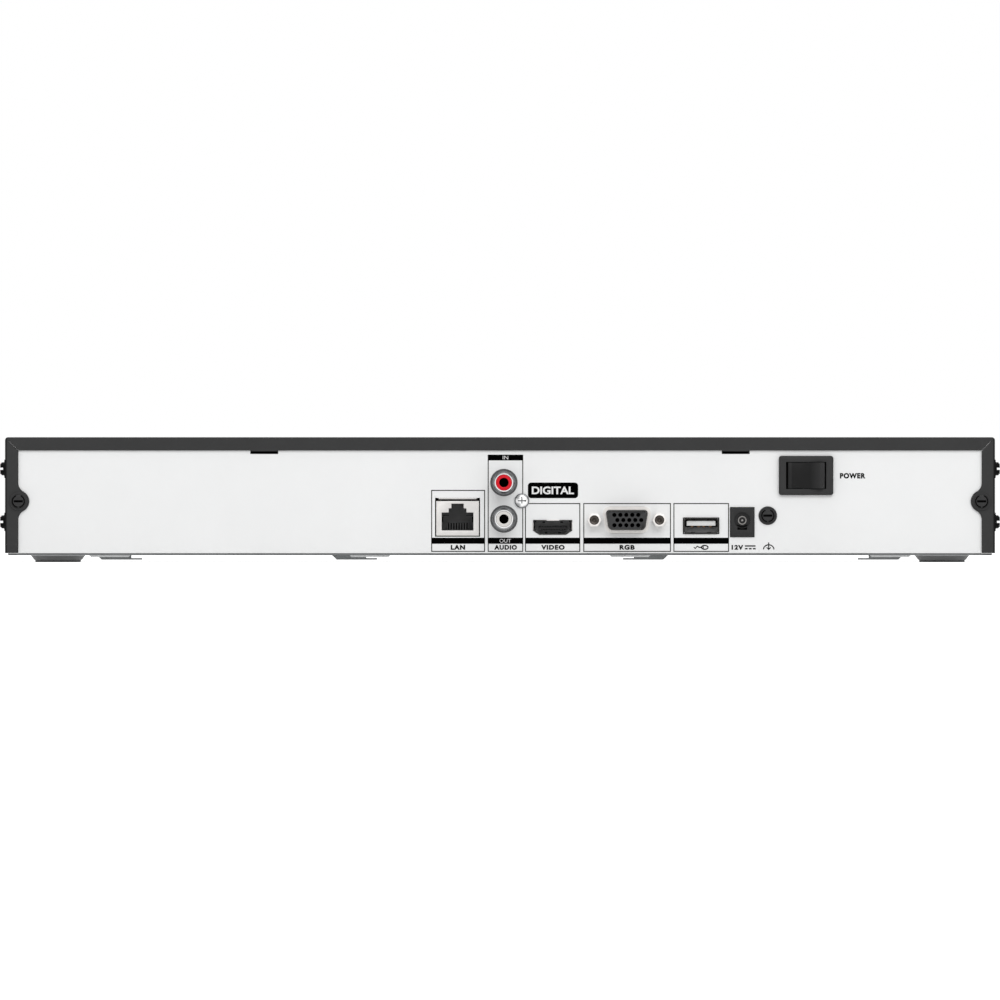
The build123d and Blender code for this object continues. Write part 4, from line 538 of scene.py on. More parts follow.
# Direct current: a whole line over three dashes. Earth: a dome over an arrow. Mouse: a rounded
# body with its button line and cord, under the USB socket.
signs = [ink_block(94.0, 98.1, 6.0, 6.5)]
signs += [ink_block(start, start + 1.05, 4.95, 5.45) for start in (94.0, 95.55, 97.1)]
earth_middle, earth_low = 103.15, 4.85
mouse_across, mouse_middle = 78.6, 5.72
signs += [
    ink_stroke(points, width)
    for points, width in (
        (arc(earth_middle, earth_low + 0.1, 2.0, 1.75, range(0, 181, 15)), 0.42),
        ([(earth_middle, 7.6), (earth_middle, earth_low)], 0.42),
        (
            [(earth_middle - 0.75, 5.7), (earth_middle, earth_low), (earth_middle + 0.75, 5.7)],
            0.42,
        ),
        (arc(mouse_across, mouse_middle, 1.25, 0.75, range(0, 361, 20)), 0.46),
        ([(78.0, mouse_middle - 0.7), (78.0, mouse_middle + 0.7)], 0.36),
        (
            [
                (77.3, mouse_middle), (76.4, mouse_middle), (75.7, 6.2), (75.0, 5.3),
                (74.4, mouse_middle),
            ],
            0.46,
        ),
    )
]
settle(joined(signs), "printed_signs", ink_black)

# A black field over the digital video socket says what kind of signal it gives.
label = ink_block(10.7, 30.0, 24.6, 30.6, corner=1.3)
settle(label, "printed_label", ink_black)
label_word = ink_word("DIGITAL", 12.2, 28.4, 26.1, 29.1, base=ink_rise, bold=0.03)
settle(label_word, "printed_label_word", ink_white)

# --------------------------------------
# Hem of the base
# A narrow strip along the base's rear edge, which shows as a line under the rear panel. Its
# dark tone is painted shade.
# --------------------------------------

hem_zinc_painted_shade = finish("hem_zinc_painted_shade", (0.17, 0.175, 0.178), 0.6, clouds=200, spread=0.08, specular=0.2)
bpy.ops.mesh.primitive_cube_add(size=1, location=(0, rear_face - 0.75 * mm, 3.05 * mm))
hem = bpy.context.object
hem.scale = (2 * (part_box("rear_panel")[1].x - 0.2 * mm), 1.3 * mm, 0.74 * mm)
applied(location=True, scale=True)
open_mesh()
bpy.ops.mesh.bevel(offset=0.08 * mm, segments=2, affect="EDGES")
close_mesh()
settle(hem, "base_hem", hem_zinc_painted_shade)

# --------------------------------------
# Top cover
# One sheet folded over the top and sides, with a mitred return round the rear panel and vents
# pressed through its sides. It is powder coated black-grey, with painted shade along the return's
# side edges.
# --------------------------------------

cover_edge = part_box("top_cover")[1].y
cover_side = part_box("top_cover")[1].x
return_width = 5.1 * mm
cover_coat = finish(
    "black_powder_coat", (0.040, 0.0402, 0.0405), 0.55, grain=2400, depth=0.02 * mm, clouds=60,
    spread=0.05, specular=0.1,
)
# Painted shade along the outer folds of the rear return.
on_return = beyond(cover_coat, "Y", cover_edge - 0.6 * mm, 0.05 * mm)
left_fold = beyond(cover_coat, "X", cover_side - 0.6 * mm, 0.3 * mm)
right_fold = beyond(cover_coat, "X", -cover_side + 0.6 * mm, 0.3 * mm, above=False)
fold_painted_shade = both_masks(cover_coat, left_fold, right_fold, "MAXIMUM")
overlay(cover_coat, both_masks(cover_coat, fold_painted_shade, on_return), (0.002, 0.002, 0.002, 1))
dress("top_cover", cover_coat)

# --------------------------------------
# Cover screws and earth screw
# Black oxide screws with a flange, a stepped head and one slot. Four hold the cover's sides,
# two its rear ears, and a seventh takes an earth wire on the rear panel.
# --------------------------------------

screw_oxide = finish(
    "black_oxide", (0.022, 0.022, 0.0225), 0.42, grain=5000, depth=0.01 * mm, clouds=500,
    spread=0.12, specular=0.25,
)


def turned(steps, sides=48):
    """A turned piece from (radius, height) steps in mm along its own axis, closed at its ends."""
    radius, height = steps[0]
    bpy.ops.mesh.primitive_circle_add(vertices=sides, radius=radius * mm, fill_type="NGON")
    piece = bpy.context.object
    piece.location.z = height * mm
    applied(location=True)
    open_mesh()
    for next_radius, next_height in steps[1:]:
        bpy.ops.mesh.extrude_region_move(
            TRANSFORM_OT_translate={"value": (0, 0, (next_height - height) * mm)}
        )
        factor = next_radius / radius
        bpy.ops.transform.resize(
            value=(factor, factor, 1), center_override=(0, 0, next_height * mm)
        )
        radius, height = next_radius, next_height
    bpy.ops.mesh.select_all(action="SELECT")
    bpy.ops.mesh.normals_make_consistent(inside=False)
    close_mesh()
    return piece


def rounded(piece, width):
    """Rounds a piece's sharper edges and shades what is left smooth."""
    picked(piece)
    if width:
        edges = piece.modifiers.new("edges", "BEVEL")
        edges.width, edges.segments = width * mm, 2
        edges.limit_method = "ANGLE"
        edges.angle_limit = math.radians(35)
        bpy.ops.object.modifier_apply(modifier="edges")
    bpy.ops.object.shade_smooth_by_angle(angle=math.radians(40))
    return piece


def carved(piece, *cutters):
    """Cuts pieces out of a piece and removes the cutters."""
    bpy.ops.object.select_all(action="DESELECT")
    bpy.context.view_layer.objects.active = piece
    for cutter in cutters:
        cut = piece.modifiers.new("cut", "BOOLEAN")
        cut.operation, cut.solver, cut.object = "DIFFERENCE", "EXACT", cutter
        bpy.ops.object.modifier_apply(modifier="cut")
        bpy.data.objects.remove(cutter)
    return piece


def block(left, right, low, high, back, front):
    """A block by its sides in mm, in across, height and depth, before it is placed."""
    bpy.ops.mesh.primitive_cube_add(
        size=1, location=((left + right) / 2 * mm, (low + high) / 2 * mm, (back + front) / 2 * mm)
    )
    piece = bpy.context.object
    piece.scale = ((right - left) * mm, (high - low) * mm, (front - back) * mm)
    applied(location=True, scale=True)
    return piece


def copied(piece, places):
    """Copies of a piece with a mesh each, placed by (location, rotation), joined as one."""
    copies = []
    for location, rotation in places:
        other = piece.copy()
        other.data = piece.data.copy()
        scene.collection.objects.link(other)
        other.location, other.rotation_euler = location, rotation
        picked(other)
        applied(location=True, rotation=True)
        copies.append(other)
    bpy.data.objects.remove(piece)
    return joined(copies)


def on_panel(piece):
    """Turns a piece made in across, height and out so that it stands on the panel's face."""
    piece.rotation_euler = toward_back
    piece.location = (0, rear_face, 0)
    return piece


def on_place(piece, across, height):
    """Moves a piece made round its own axis to a place on the panel, before it is turned."""
    piece.location = (across * mm, height * mm, 0)
    picked(piece)
    applied(location=True)
    return piece


def panel_blocks(boxes, name, paint):
    """Blocks on the panel's face, from the sides of each, as one piece."""
    return settle(on_panel(joined([block(*sides) for sides in boxes])), name, paint)


def slotted_screw(slot_reach):
    """A flanged screw with a stepped head and a slot, its seat at height 0."""
    screw = turned(
        [
            (1.48, -4.9), (1.48, 0), (3.45, 0), (3.55, 0.12), (3.55, 0.38), (3.42, 0.5),
            (2.68, 0.52), (2.55, 0.7), (2.5, 1.5), (2.05, 1.75), (2.0, 2.05), (1.2, 2.1),
        ]
    )
    slot = block(-slot_reach, slot_reach, -0.42, 0.42, 0.95, 3)
    return rounded(carved(screw, slot), 0)


def repaint(piece, paint, test):
    """Gives a second finish to the faces whose centre and normal pass a test."""
    piece.data.materials.append(paint)
    number = len(piece.data.materials) - 1
    for face in piece.data.polygons:
        if test(face.center, face.normal):
            face.material_index = number


# Near-black painted shade, for slots, holes, gaps and parts that lie deep in shade.
painted_shade_black = finish(
    "slot_shade", (0.0015, 0.0015, 0.0015), 0.7, clouds=500, spread=0.2, specular=0.05,
)


def paint_recess_shade(screws, seats):
    """Paints the slots and the stepped sides of cap screws black as painted shade, by (seat,
    outward way) pairs.
    """

    def recessed(centre, normal):
        seat, way = min(seats, key=lambda pair: (centre - pair[0]).length)
        height = (centre - seat).dot(way)
        offset = centre - seat - way * height
        away = offset.length
        sideways = math.hypot(offset.x, offset.y)
        in_slot = 0.9 * mm < height < 1.9 * mm and away < 1.8 * mm
        # More of the step is left bare at its top than at its bottom, so the painted shade lies
        # lower.
        bare = 0.95 * mm if offset.z > 0 else 0.35 * mm
        on_step = 1.5 * mm < height < 1.85 * mm and away > 2.0 * mm and sideways > bare
        return in_slot or on_step

    repaint(screws, painted_shade_black, recessed)


side_screw_y = 122.75 * mm
left_turn = (math.radians(90), 0, math.radians(90))
right_turn = (math.radians(90), 0, math.radians(-90))
toward_back = facing_back
side_screw_heights = (15.5, 35.9)
ear_across, ear_height = cover_side - return_width, 23.4 * mm
screw_places = [
    ((side * cover_side, side_screw_y, height * mm), turn)
    for side, turn in ((1, left_turn), (-1, right_turn))
    for height in side_screw_heights
]
ear_places = [((side * ear_across, cover_edge, ear_height), toward_back) for side in (-1, 1)]
cover_screws = joined(
    [copied(slotted_screw(2.9), screw_places), copied(slotted_screw(1.75), ear_places)]
)
screw_places += ear_places
settle(cover_screws, "side_and_ear_screws", screw_oxide)
outward = {
    left_turn: Vector((1, 0, 0)),
    right_turn: Vector((-1, 0, 0)),
    toward_back: Vector((0, 1, 0)),
}
side_screw_darker_oxide = finish(
    "side_screw_darker_oxide", (0.006, 0.006, 0.0062), 0.45, clouds=500, spread=0.15, specular=0.04,
)
# The side screws' heads, out beyond the cover's sides, are darker than the ear screws.
repaint(cover_screws, side_screw_darker_oxide, lambda centre, normal: abs(centre.x) > cover_side)
paint_recess_shade(cover_screws, [(Vector(seat), outward[turn]) for seat, turn in screw_places])
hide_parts("cover_screws")

earth_seat = (-102.8 * mm, rear_face, 17.9 * mm)
earth_screw = copied(slotted_screw(1.75), [(earth_seat, toward_back)])
settle(earth_screw, "earth_screw", screw_oxide)
paint_recess_shade(earth_screw, [(Vector(earth_seat), outward[toward_back])])
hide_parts("ground_screw")

# --------------------------------------
# Network socket
# A tinned steel shield folded round a black moulding, with eight gilt wires in its mouth. Two
# lugs of the shield and its folded top show in the gap that the panel leaves above it. The moulding
# in the mouth and a comb behind the wires are painted grey as painted light; the wires, black
# blocks in the comb's slots, the latch ledges and the side springs are near-black painted shade.
# --------------------------------------


def softened(node, width, paint, body="case"):
    """A CAD node's own form with its edges rounded, which stands in the node's place."""
    copy_name = node + "_rounded"
    piece = bpy.data.objects.new(copy_name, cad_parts[node].data.copy())
    scene.collection.objects.link(piece)
    picked(piece)
    open_mesh()
    bpy.ops.mesh.remove_doubles(threshold=0.001 * mm)
    bpy.ops.mesh.dissolve_limited(angle_limit=math.radians(2))
    close_mesh()
    piece.data.materials.clear()
    rounded(piece, width)
    settle(piece, copy_name, paint, body)
    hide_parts(node)
    return piece


tin = finish(
    "tinned_steel", (0.66, 0.645, 0.63), 0.45, metallic=0.35, clouds=300, spread=0.03,
    depth=0.01 * mm,
)
wire_painted_shade = finish("wire_painted_shade", (0.012, 0.010, 0.008), 0.4, metallic=1.0, clouds=900, spread=0.08)
dark_moulding = finish(
    "dark_moulding", (0.032, 0.0322, 0.033), 0.6, grain=6000, depth=0.01 * mm, clouds=400,
    spread=0.06, specular=0.3,
)
mouth_moulding_painted_light = finish(
    "mouth_moulding_painted_light", (0.22, 0.22, 0.222), 0.6, clouds=400, spread=0.06, specular=0.3,
)
softened("lan_shield", 0.12, tin)
# The insert is painted light grey, as painted light.
dress("lan_insert", mouth_moulding_painted_light)
# The gilt wires are painted near-black, as shade.
dress("lan_contacts", wire_painted_shade)

# A comb behind the wires, painted lighter than the black moulding, as painted light.
comb = block(-20.4, -12.2, 12.2, 15.2, -6.0, -3.2)
comb_moulding_painted_light = finish(
    "comb_moulding_painted_light", (0.058, 0.058, 0.0585), 0.6, clouds=400, spread=0.06, specular=0.2,
)
settle(on_panel(comb), "contact_comb", comb_moulding_painted_light)
wires_middle, wire_pitch = -16.2, 1.01
# Black blocks in the comb's slots, as painted shade.
slots = [
    (across - 0.3, across + 0.3, 12.55, 15.15, -3.3, -3.15)
    for across in (wires_middle + (number - 3.5) * wire_pitch for number in range(8))
]
panel_blocks(slots, "comb_slot_shade", painted_shade_black)
# Black blocks at the latch ledges and the side springs, as painted shade.
latch_ledge_shades = [(left, left + 2.7, 17.9, 18.1, -1.6, -0.9) for left in (-22.3, -13.0)]
side_spring_shades = [(left, left + 0.6, 15.3, 17.5, -1.4, -0.3) for left in (-22.4, -10.8)]
panel_blocks(latch_ledge_shades + side_spring_shades, "mouth_spring_shade", painted_shade_black)
folded_edge = block(-23.6, -9.0, 24.22, 24.68, -0.9, -0.25)
settle(on_panel(rounded(folded_edge, 0.1)), "folded_shield_edge", tin)
paint_webs = [
    (left, left + width, low, high, -0.6, 0.012)
    for left, width, low, high in (
        (-25.65, 0.75, 24.0, 25.4),
        (-25.0, 0.75, 24.74, 25.4),
        (-7.7, 0.75, 24.0, 25.4),
        (-8.35, 0.75, 24.74, 25.4),
    )
]
panel_blocks(paint_webs, "paint_in_corner_holes", panel_paint)

# --------------------------------------
# Audio jacks
# Two nickel-plated brass barrels with ringed flanges and a bored insulator in each, one red and
# one white, in one black block that a cross-head screw pulls to the panel. The flanges' rings carry
# a painted reflection in darker tones, the insulators' bores painted shade, and the screw's rim and
# recess a painted reflection and painted shade.
# --------------------------------------

bright_nickel = finish(
    "bright_nickel", (0.74, 0.74, 0.745), 0.22, metallic=1.0, clouds=500, spread=0.04,
    depth=0.002 * mm,
)
nickel_painted_reflection = finish(
    "grey_nickel", (0.17, 0.175, 0.18), 0.3, metallic=1.0, clouds=500, spread=0.1,
    depth=0.002 * mm,
)
shaded_nickel = finish(
    "shaded_nickel", (0.10, 0.102, 0.104), 0.35, metallic=1.0, clouds=500, spread=0.1,
    depth=0.002 * mm,
)
red_moulding = finish(
    "red_moulding", (0.66, 0.006, 0.018), 0.4, clouds=500, spread=0.05, gloss_spread=0.04,
    specular=0.2,
)
white_moulding = finish(
    "white_moulding", (0.68, 0.665, 0.64), 0.35, clouds=500, spread=0.03, gloss_spread=0.04,
)
audio_across = 1.5
audio_heights = (16.6, 30.6)
barrel = turned(
    [
        (4.15, -1.0), (5.1, -1.0), (5.12, 0.35), (5.0, 0.6), (4.9, 0.7), (4.6, 0.7), (4.5, 0.5),
        (4.25, 0.48), (4.15, 0.6), (4.15, 8.2), (4.05, 8.6), (3.6, 9.1), (3.5, 9.28), (3.15, 9.3),
        (3.06, 9.15), (3.05, 3.0),
    ]
)
rounded(barrel, 0)
barrels = copied(
    barrel,
    [((-audio_across * mm, rear_face, height * mm), toward_back) for height in audio_heights],
)
settle(barrels, "ringed_barrels", bright_nickel)


def from_axis(centre, across, *heights):
    """How far a point lies, in mm, from the nearest of some axes that run out of the panel."""
    return min(math.hypot(centre.x / mm + across, centre.z / mm - height) for height in heights)


bare_nickel_and_painted_reflection = finish(
    "bare_nickel_and_painted_reflection", (0.31, 0.315, 0.32), 0.3, metallic=1.0, clouds=500, spread=0.1,
    depth=0.002 * mm,
)
# Four darker tones by radius over the flanges' rings, as painted reflection.
for least, most, paint in (
    (3.52, 3.9, bare_nickel_and_painted_reflection),
    (3.9, 4.25, nickel_painted_reflection),
    (4.25, 4.58, bare_nickel_and_painted_reflection),
    (4.58, 5.3, shaded_nickel),
):
    repaint(
        barrels,
        paint,
        lambda centre, normal: least < from_axis(centre, audio_across, *audio_heights) <= most,
    )
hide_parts("audio_barrels")
for node, height, paint in (
    ("audio_out_insulator", audio_heights[0], white_moulding),
    ("audio_in_insulator", audio_heights[1], red_moulding),
):
    insulator = turned(
        [
            (2.9, 3.0), (3.03, 3.1), (3.03, 8.7), (2.95, 8.88), (2.45, 8.9), (2.38, 8.84),
            (2.3, 8.9), (2.0, 8.9), (1.82, 8.75), (1.8, 1.2),
        ]
    )
    rounded(insulator, 0)
    insulator.rotation_euler = toward_back
    insulator.location = (-audio_across * mm, rear_face, height * mm)
    settle(insulator, node + "_turned", paint)
    # The insulator's bore below its mouth is painted dark, as shade.
    bore_depth = rear_face + 7.6 * mm
    repaint(
        insulator,
        dark_moulding,
        lambda centre, normal: centre.y < bore_depth
        and from_axis(centre, audio_across, height) < 1.95,
    )
    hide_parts(node)
dress("audio_block", dark_moulding)


def cross_screw(head, reach, name, places, paint, node):
    """Pan-head screws with a cross recess, their seats at height 0."""
    screw = turned(
        [
            (1.45, -reach), (1.45, 0), (head, 0), (head + 0.02, 0.45), (head - 0.12, 0.6),
            (head - 0.38, 0.7), (head - 0.42, 1.1), (head - 0.75, 1.5), (head - 1.8, 1.78),
            (0.4, 1.8),
        ],
        40,
    )
    long_cut = block(-1.5, 1.5, -0.2, 0.2, 1.25, 3)
    cross_cut = block(-0.2, 0.2, -1.0, 1.5, 1.25, 3)
    pits = [
        on_place(turned([(size, 0.7), (size, 3)], 16), across, height)
        for across, height, size in ((1.3, 0, 0.34), (-1.3, 0, 0.24), (0, 1.3, 0.32))
    ]
    rounded(carved(screw, long_cut, cross_cut, *pits), 0)
    group = copied(screw, places)
    settle(group, name, paint)
    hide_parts(node)
    return group


white_nickel = finish(
    "white_nickel", (0.86, 0.86, 0.86), 0.3, metallic=0.7, clouds=500, spread=0.03,
    depth=0.002 * mm,
)
screw_across, screw_height = 8.4, 23.6
screw_seat = Vector((-screw_across * mm, rear_face, screw_height * mm))
block_screw = cross_screw(
    2.8,
    4.9,
    "cross_head_screw",
    [(screw_seat, toward_back)],
    white_nickel,
    "audio_block_screw",
)
# The screw's rim is painted darker as a painted reflection, and its recess and pits darker and
# black as painted shade.
for paint, deepest, highest, nearest, farthest in (
    (nickel_painted_reflection, -9.0, 0.72, 2.3, 9.0),
    (shaded_nickel, -9.0, 1.3, -1.0, 1.75),
    (painted_shade_black, 0.6, 1.2, -1.0, 1.75),
):
    repaint(
        block_screw,
        paint,
        lambda centre, normal: deepest * mm < (centre - screw_seat).y < highest * mm
        and nearest < from_axis(centre, screw_across, screw_height) < farthest,
    )

# --------------------------------------
# Digital video socket
# A thin shell with bevelled lower corners round a dark moulding, which has a flat tongue in a
# slot and small windows for the shell's springs. The shell's rim, the tongue, its contacts, the
# windows and the spring notches carry painted shade, and a grey face set in the cavity carries
# painted light.
# --------------------------------------


def stepped(outline, steps):
    """Raises a flat outline in steps of (narrower by, out) in mm, closed at both ends."""
    picked(outline)
    open_mesh()
    height = 0.0
    for narrower, out in steps:
        bpy.ops.mesh.extrude_region_move(
            TRANSFORM_OT_translate={"value": (0, 0, (out - height) * mm)}
        )
        if narrower:
            bpy.ops.mesh.inset(thickness=narrower * mm, depth=0)
            bpy.ops.mesh.remove_doubles(threshold=0.0005 * mm)
        height = out
    bpy.ops.mesh.select_all(action="SELECT")
    bpy.ops.mesh.normals_make_consistent(inside=False)
    close_mesh()
    return outline


def ringed(piece):
    """Opens a stepped piece at both ends and joins its inner wall to its outer one."""
    picked(piece)
    bpy.ops.object.mode_set(mode="EDIT")
    bpy.ops.mesh.select_all(action="DESELECT")
    bpy.ops.mesh.select_face_by_sides(number=4, type="GREATER")
    bpy.ops.mesh.delete(type="ONLY_FACE")
    bpy.ops.mesh.select_all(action="DESELECT")
    bpy.ops.mesh.select_mode(type="EDGE")
    bpy.ops.mesh.select_non_manifold()
    bpy.ops.mesh.bridge_edge_loops()
    bpy.ops.mesh.select_all(action="SELECT")
    bpy.ops.mesh.normals_make_consistent(inside=False)
    bpy.ops.mesh.select_mode(type="VERT")
    close_mesh()
    return piece


def outline_plate(left, right, low, high, lower_taper=0.0, corner=0.0, start=0.0):
    """A flat plate by its sides in mm, its lower side drawn in and its corners rounded."""
    bpy.ops.mesh.primitive_plane_add(
        size=1, location=((left + right) / 2 * mm, (low + high) / 2 * mm, start * mm)
    )
    plate = bpy.context.object
    plate.scale = ((right - left) * mm, (high - low) * mm, 1)
    applied(location=True, scale=True)
    middle = (left + right) / 2 * mm
    for corner_point in plate.data.vertices:
        if corner_point.co.y < (low + high) / 2 * mm:
            inward = lower_taper * mm
            corner_point.co.x += inward if corner_point.co.x < middle else -inward
    if corner:
        open_mesh()
        bpy.ops.mesh.bevel(offset=corner * mm, segments=5, affect="VERTICES")
        close_mesh()
    return plate


shell_steel = finish(
    "shell_steel", (0.22, 0.20, 0.185), 0.35, metallic=1.0, clouds=400, spread=0.1,
    depth=0.004 * mm,
)
shell_painted_shade = finish(
    "shell_in_shade", (0.025, 0.024, 0.023), 0.4, metallic=1.0, clouds=400, spread=0.1,
    depth=0.004 * mm,
)
rim_painted_shade = finish("rim_in_shade", (0.05, 0.049, 0.048), 0.4, metallic=1.0, clouds=400, spread=0.1)
# The shell is dark metal, as painted shade.
softened("video_shell", 0.1, rim_painted_shade)
cavity_painted_light_and_shade = finish(
    "cavity_painted_light_and_shade", (0.24, 0.24, 0.242), 0.6, clouds=400, spread=0.06, specular=0.3,
)
moulding_painted_shade = finish(
    "moulding_painted_shade", (0.012, 0.012, 0.0123), 0.5, clouds=400, spread=0.06, specular=0.2,
)
# The tongue is darker than the other black mouldings, as painted shade.
dress("video_tongue", moulding_painted_shade)

# A grey face set in the cavity, painted light.
cavity_face = outline_plate(13.35, 27.05, 11.2, 15.75, corner=0.3, start=-4.4)
stepped(cavity_face, [(0, -4.0)])
settle(on_panel(cavity_face), "cavity_face", cavity_painted_light_and_shade)
# Black contacts on the tongue, as painted shade.
tongue_rib_shades = [
    (first + 1.0 * number, first + 0.5 + 1.0 * number, low, high, -6.0, -0.1)
    for first, low, high, count in ((15.1, 13.4, 13.9, 11), (15.6, 12.35, 12.8, 10))
    for number in range(count)
]
panel_blocks(tongue_rib_shades, "tongue_contact_shade", painted_shade_black)
# Black blocks in the shell's windows, as painted shade.
window_places = ((16.3, 15.1), (23.2, 15.1), (17.2, 11.05), (22.3, 11.05))
windows = [
    (across, across + 1.0, low, low + 0.5, -1.0, 0.3)
    for across, low in window_places
]
panel_blocks(windows, "shell_window_shade", painted_shade_black)
springs = [
    block(12.45, 12.85, 12.3, 15.3, -0.9, 0.35),
    block(27.55, 27.95, 12.3, 15.3, -0.9, 0.35),
    block(17.9, 22.8, 15.95, 16.4, -0.9, 0.72),
]
settle(on_panel(rounded(joined(springs), 0.08)), "shell_springs", tin)
# Black blocks in the spring notches, as painted shade.
notches = [
    (left, right, low, high, -0.8, 0.66)
    for left, right, low, high in (
        (13.0, 13.45, 13.2, 14.0),
        (13.45, 13.85, 15.4, 15.95),
        (13.4, 13.75, 12.2, 12.75),
        (26.95, 27.4, 13.2, 14.0),
        (26.55, 26.95, 15.4, 15.95),
        (26.65, 27.0, 12.2, 12.75),
    )
]
panel_blocks(notches, "spring_notch_shade", painted_shade_black)

# --------------------------------------
# Analog video socket
# A drawn nickel shell with a soft collar and a D mouth, round a dark insert with three rows of
# five holes, and two hexagonal jack nuts for the plug's screws. The collar's top carries painted
# light; the mouth's wall, the insert's holes and the nuts' bores carry painted shade.
# --------------------------------------

soft_nickel = finish(
    "soft_nickel", (0.78, 0.755, 0.73), 0.42, metallic=0.45, clouds=250, spread=0.03,
    depth=0.004 * mm,
)
nut_places, nut_height = (36.2, 61.2), 16.2
flange = carved(
    block(33.3, 64.1, 10.2, 22.2, -1.8, -1.0),
    *[on_place(turned([(1.45, -3), (1.45, 1)]), across, nut_height) for across in nut_places],
)
collar = outline_plate(39.27, 58.13, 11.15, 21.25, lower_taper=1.3, corner=2.6, start=-1.0)
stepped(collar, [(0.25, 1.5), (0.3, 1.7), (0.62, 1.8), (0, -0.7)])
mouth_wall = outline_plate(40.43, 56.97, 12.3, 20.1, lower_taper=1.3, corner=1.6, start=0.5)
stepped(mouth_wall, [(0.12, 4.9), (0.16, 5.08), (0.14, 5.08), (0.08, 4.95), (0, -1.0)])
d_shell = joined([flange, rounded(collar, 0), rounded(mouth_wall, 0)])
settle(on_panel(d_shell), "drawn_d_shell", soft_nickel)
# The collar's top flat is painted lighter, as painted light.
repaint(
    d_shell,
    white_nickel,
    lambda centre, normal: rear_face + 1.65 * mm < centre.y < rear_face + 1.85 * mm
    and normal.y > 0.9,
)
# The mouth's wall and rim are painted dark, as shade.
repaint(d_shell, rim_painted_shade, lambda centre, normal: centre.y > rear_face + 1.85 * mm)
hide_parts("dsub_shell")
# The insert's holes are painted black, as shade.
repaint(
    softened("dsub_insert", 0, dark_moulding),
    painted_shade_black,
    lambda centre, normal: centre.y < rear_face + 5.0 * mm and centre.y > rear_face,
)
bore_painted_shade = finish(
    "bore_painted_shade", (0.085, 0.075, 0.068), 0.35, metallic=1.0, clouds=500, spread=0.15,
)
nuts = softened("dsub_nuts", 0.08, soft_nickel)
# The nuts' bores and drill points are painted dark brown, as shade.
repaint(
    nuts,
    bore_painted_shade,
    lambda centre, normal: centre.y > rear_face
    and normal.y < 0.98
    and min(from_axis(centre, across, nut_height) for across in nut_places) < 1.86,
)
nut_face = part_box("dsub_nuts")[1].y
drill_points = copied(
    rounded(turned([(1.45, -1.0), (1.45, 0), (1.1, -0.12), (0.6, -0.45), (0.15, -0.75)], 32), 0),
    [((-across * mm, nut_face - 1.3 * mm, nut_height * mm), toward_back) for across in nut_places],
)
settle(drill_points, "drill_points", bore_painted_shade)

# --------------------------------------
# USB sockets
# Pressed steel shells with flared corners and sprung tabs, each round a tongue with four
# contacts under it. The rear tongue is white and the front one black. The rear shell and its lip,
# the rear tongue's underside and deep end, the tabs and the contacts carry painted shade, and a
# grey floor in the rear shell carries painted light.
# --------------------------------------

tongue_white = finish("white_tongue", (0.74, 0.74, 0.735), 0.4, clouds=500, spread=0.03)
usb_across, usb_low, usb_high, usb_half = 77.2, 10.95, 17.05, 6.85
# The rear shell is dark metal, as painted shade.
softened("rear_usb_shell", 0.06, shell_painted_shade)
rear_tongue = softened("rear_usb_tongue", 0.1, tongue_white)
# The tongue's deep end and underside are painted grey, as shade.
repaint(
    rear_tongue,
    cavity_painted_light_and_shade,
    lambda centre, normal: centre.y < rear_face - 9.5 * mm or normal.z < -0.9,
)
lip = outline_plate(
    usb_across - usb_half + 0.03,
    usb_across + usb_half - 0.03,
    usb_low - 0.02,
    usb_high + 0.02,
    corner=1.05,
    start=0.05,
)
stepped(lip, [(0.1, 0.62), (0.12, 0.74), (0.3, 0.74), (0, 0.1)])
settle(on_panel(rounded(ringed(lip), 0)), "flared_lip", shell_painted_shade)
# The lip is dark metal as painted shade, with bare nickel at its flared corners.
repaint(
    lip,
    bare_nickel_and_painted_reflection,
    lambda centre, normal: abs(centre.x / mm + usb_across) > 6.35
    and abs(centre.z / mm - (usb_low + usb_high) / 2) > 2.5
    and centre.y > rear_face,
)
# A grey floor in the shell, painted light.
shell_floor = block(70.75, 83.65, 11.3, 13.6, -4.5, -3.2)
settle(on_panel(rounded(shell_floor, 0.1)), "usb_shell_floor", cavity_painted_light_and_shade)
# Black blocks at the sprung tabs, as painted shade.
springs = [
    (across - 0.85, across + 0.85, low, high, -3.0, 0.55)
    for across in (74.1, 80.35)
    for low, high in ((16.3, 16.62), (11.36, 11.62))
]
panel_blocks(springs, "usb_spring_shade", painted_shade_black)
pads = [
    (across - 0.45, across + 0.45, 13.45, 14.0, -8.0, -0.75)
    for across in (73.75, 76.25, 78.25, 80.75)
]
# The gilt contacts are painted dark, as shade.
gilt_painted_shade = finish("gilt_painted_shade", (0.10, 0.045, 0.015), 0.4, metallic=0.6, clouds=900, spread=0.1)
panel_blocks(pads, "usb_contacts", gilt_painted_shade)
softened("front_usb_shell", 0.08, shell_steel)
softened("front_usb_tongue", 0.1, dark_moulding)

# --------------------------------------
# Power jack
# A black moulding with a round lined bore, a ringed nickel pin in it and a leaf spring in a slot
# under the bore. The bore's walls carry painted light; the liner's middle, the slot, the leaf
# spring and the pin carry painted shade.
# --------------------------------------

jack_moulding = finish(
    "jack_moulding", (0.0175, 0.0176, 0.018), 0.55, grain=6000, depth=0.01 * mm, clouds=400,
    spread=0.06, specular=0.25,
)
bore_painted_light = finish(
    "bore_painted_light", (0.40, 0.40, 0.402), 0.6, clouds=400, spread=0.06, specular=0.2,
)
power_across, power_height = 93.0, 16.1
jack = softened("power_jack_body", 0.2, jack_moulding)
# The bore's walls are painted light grey, as painted light.
repaint(
    jack,
    bore_painted_light,
    lambda centre, normal: from_axis(centre, power_across, power_height) < 3.15
    and centre.y < rear_face + 0.3 * mm,
)
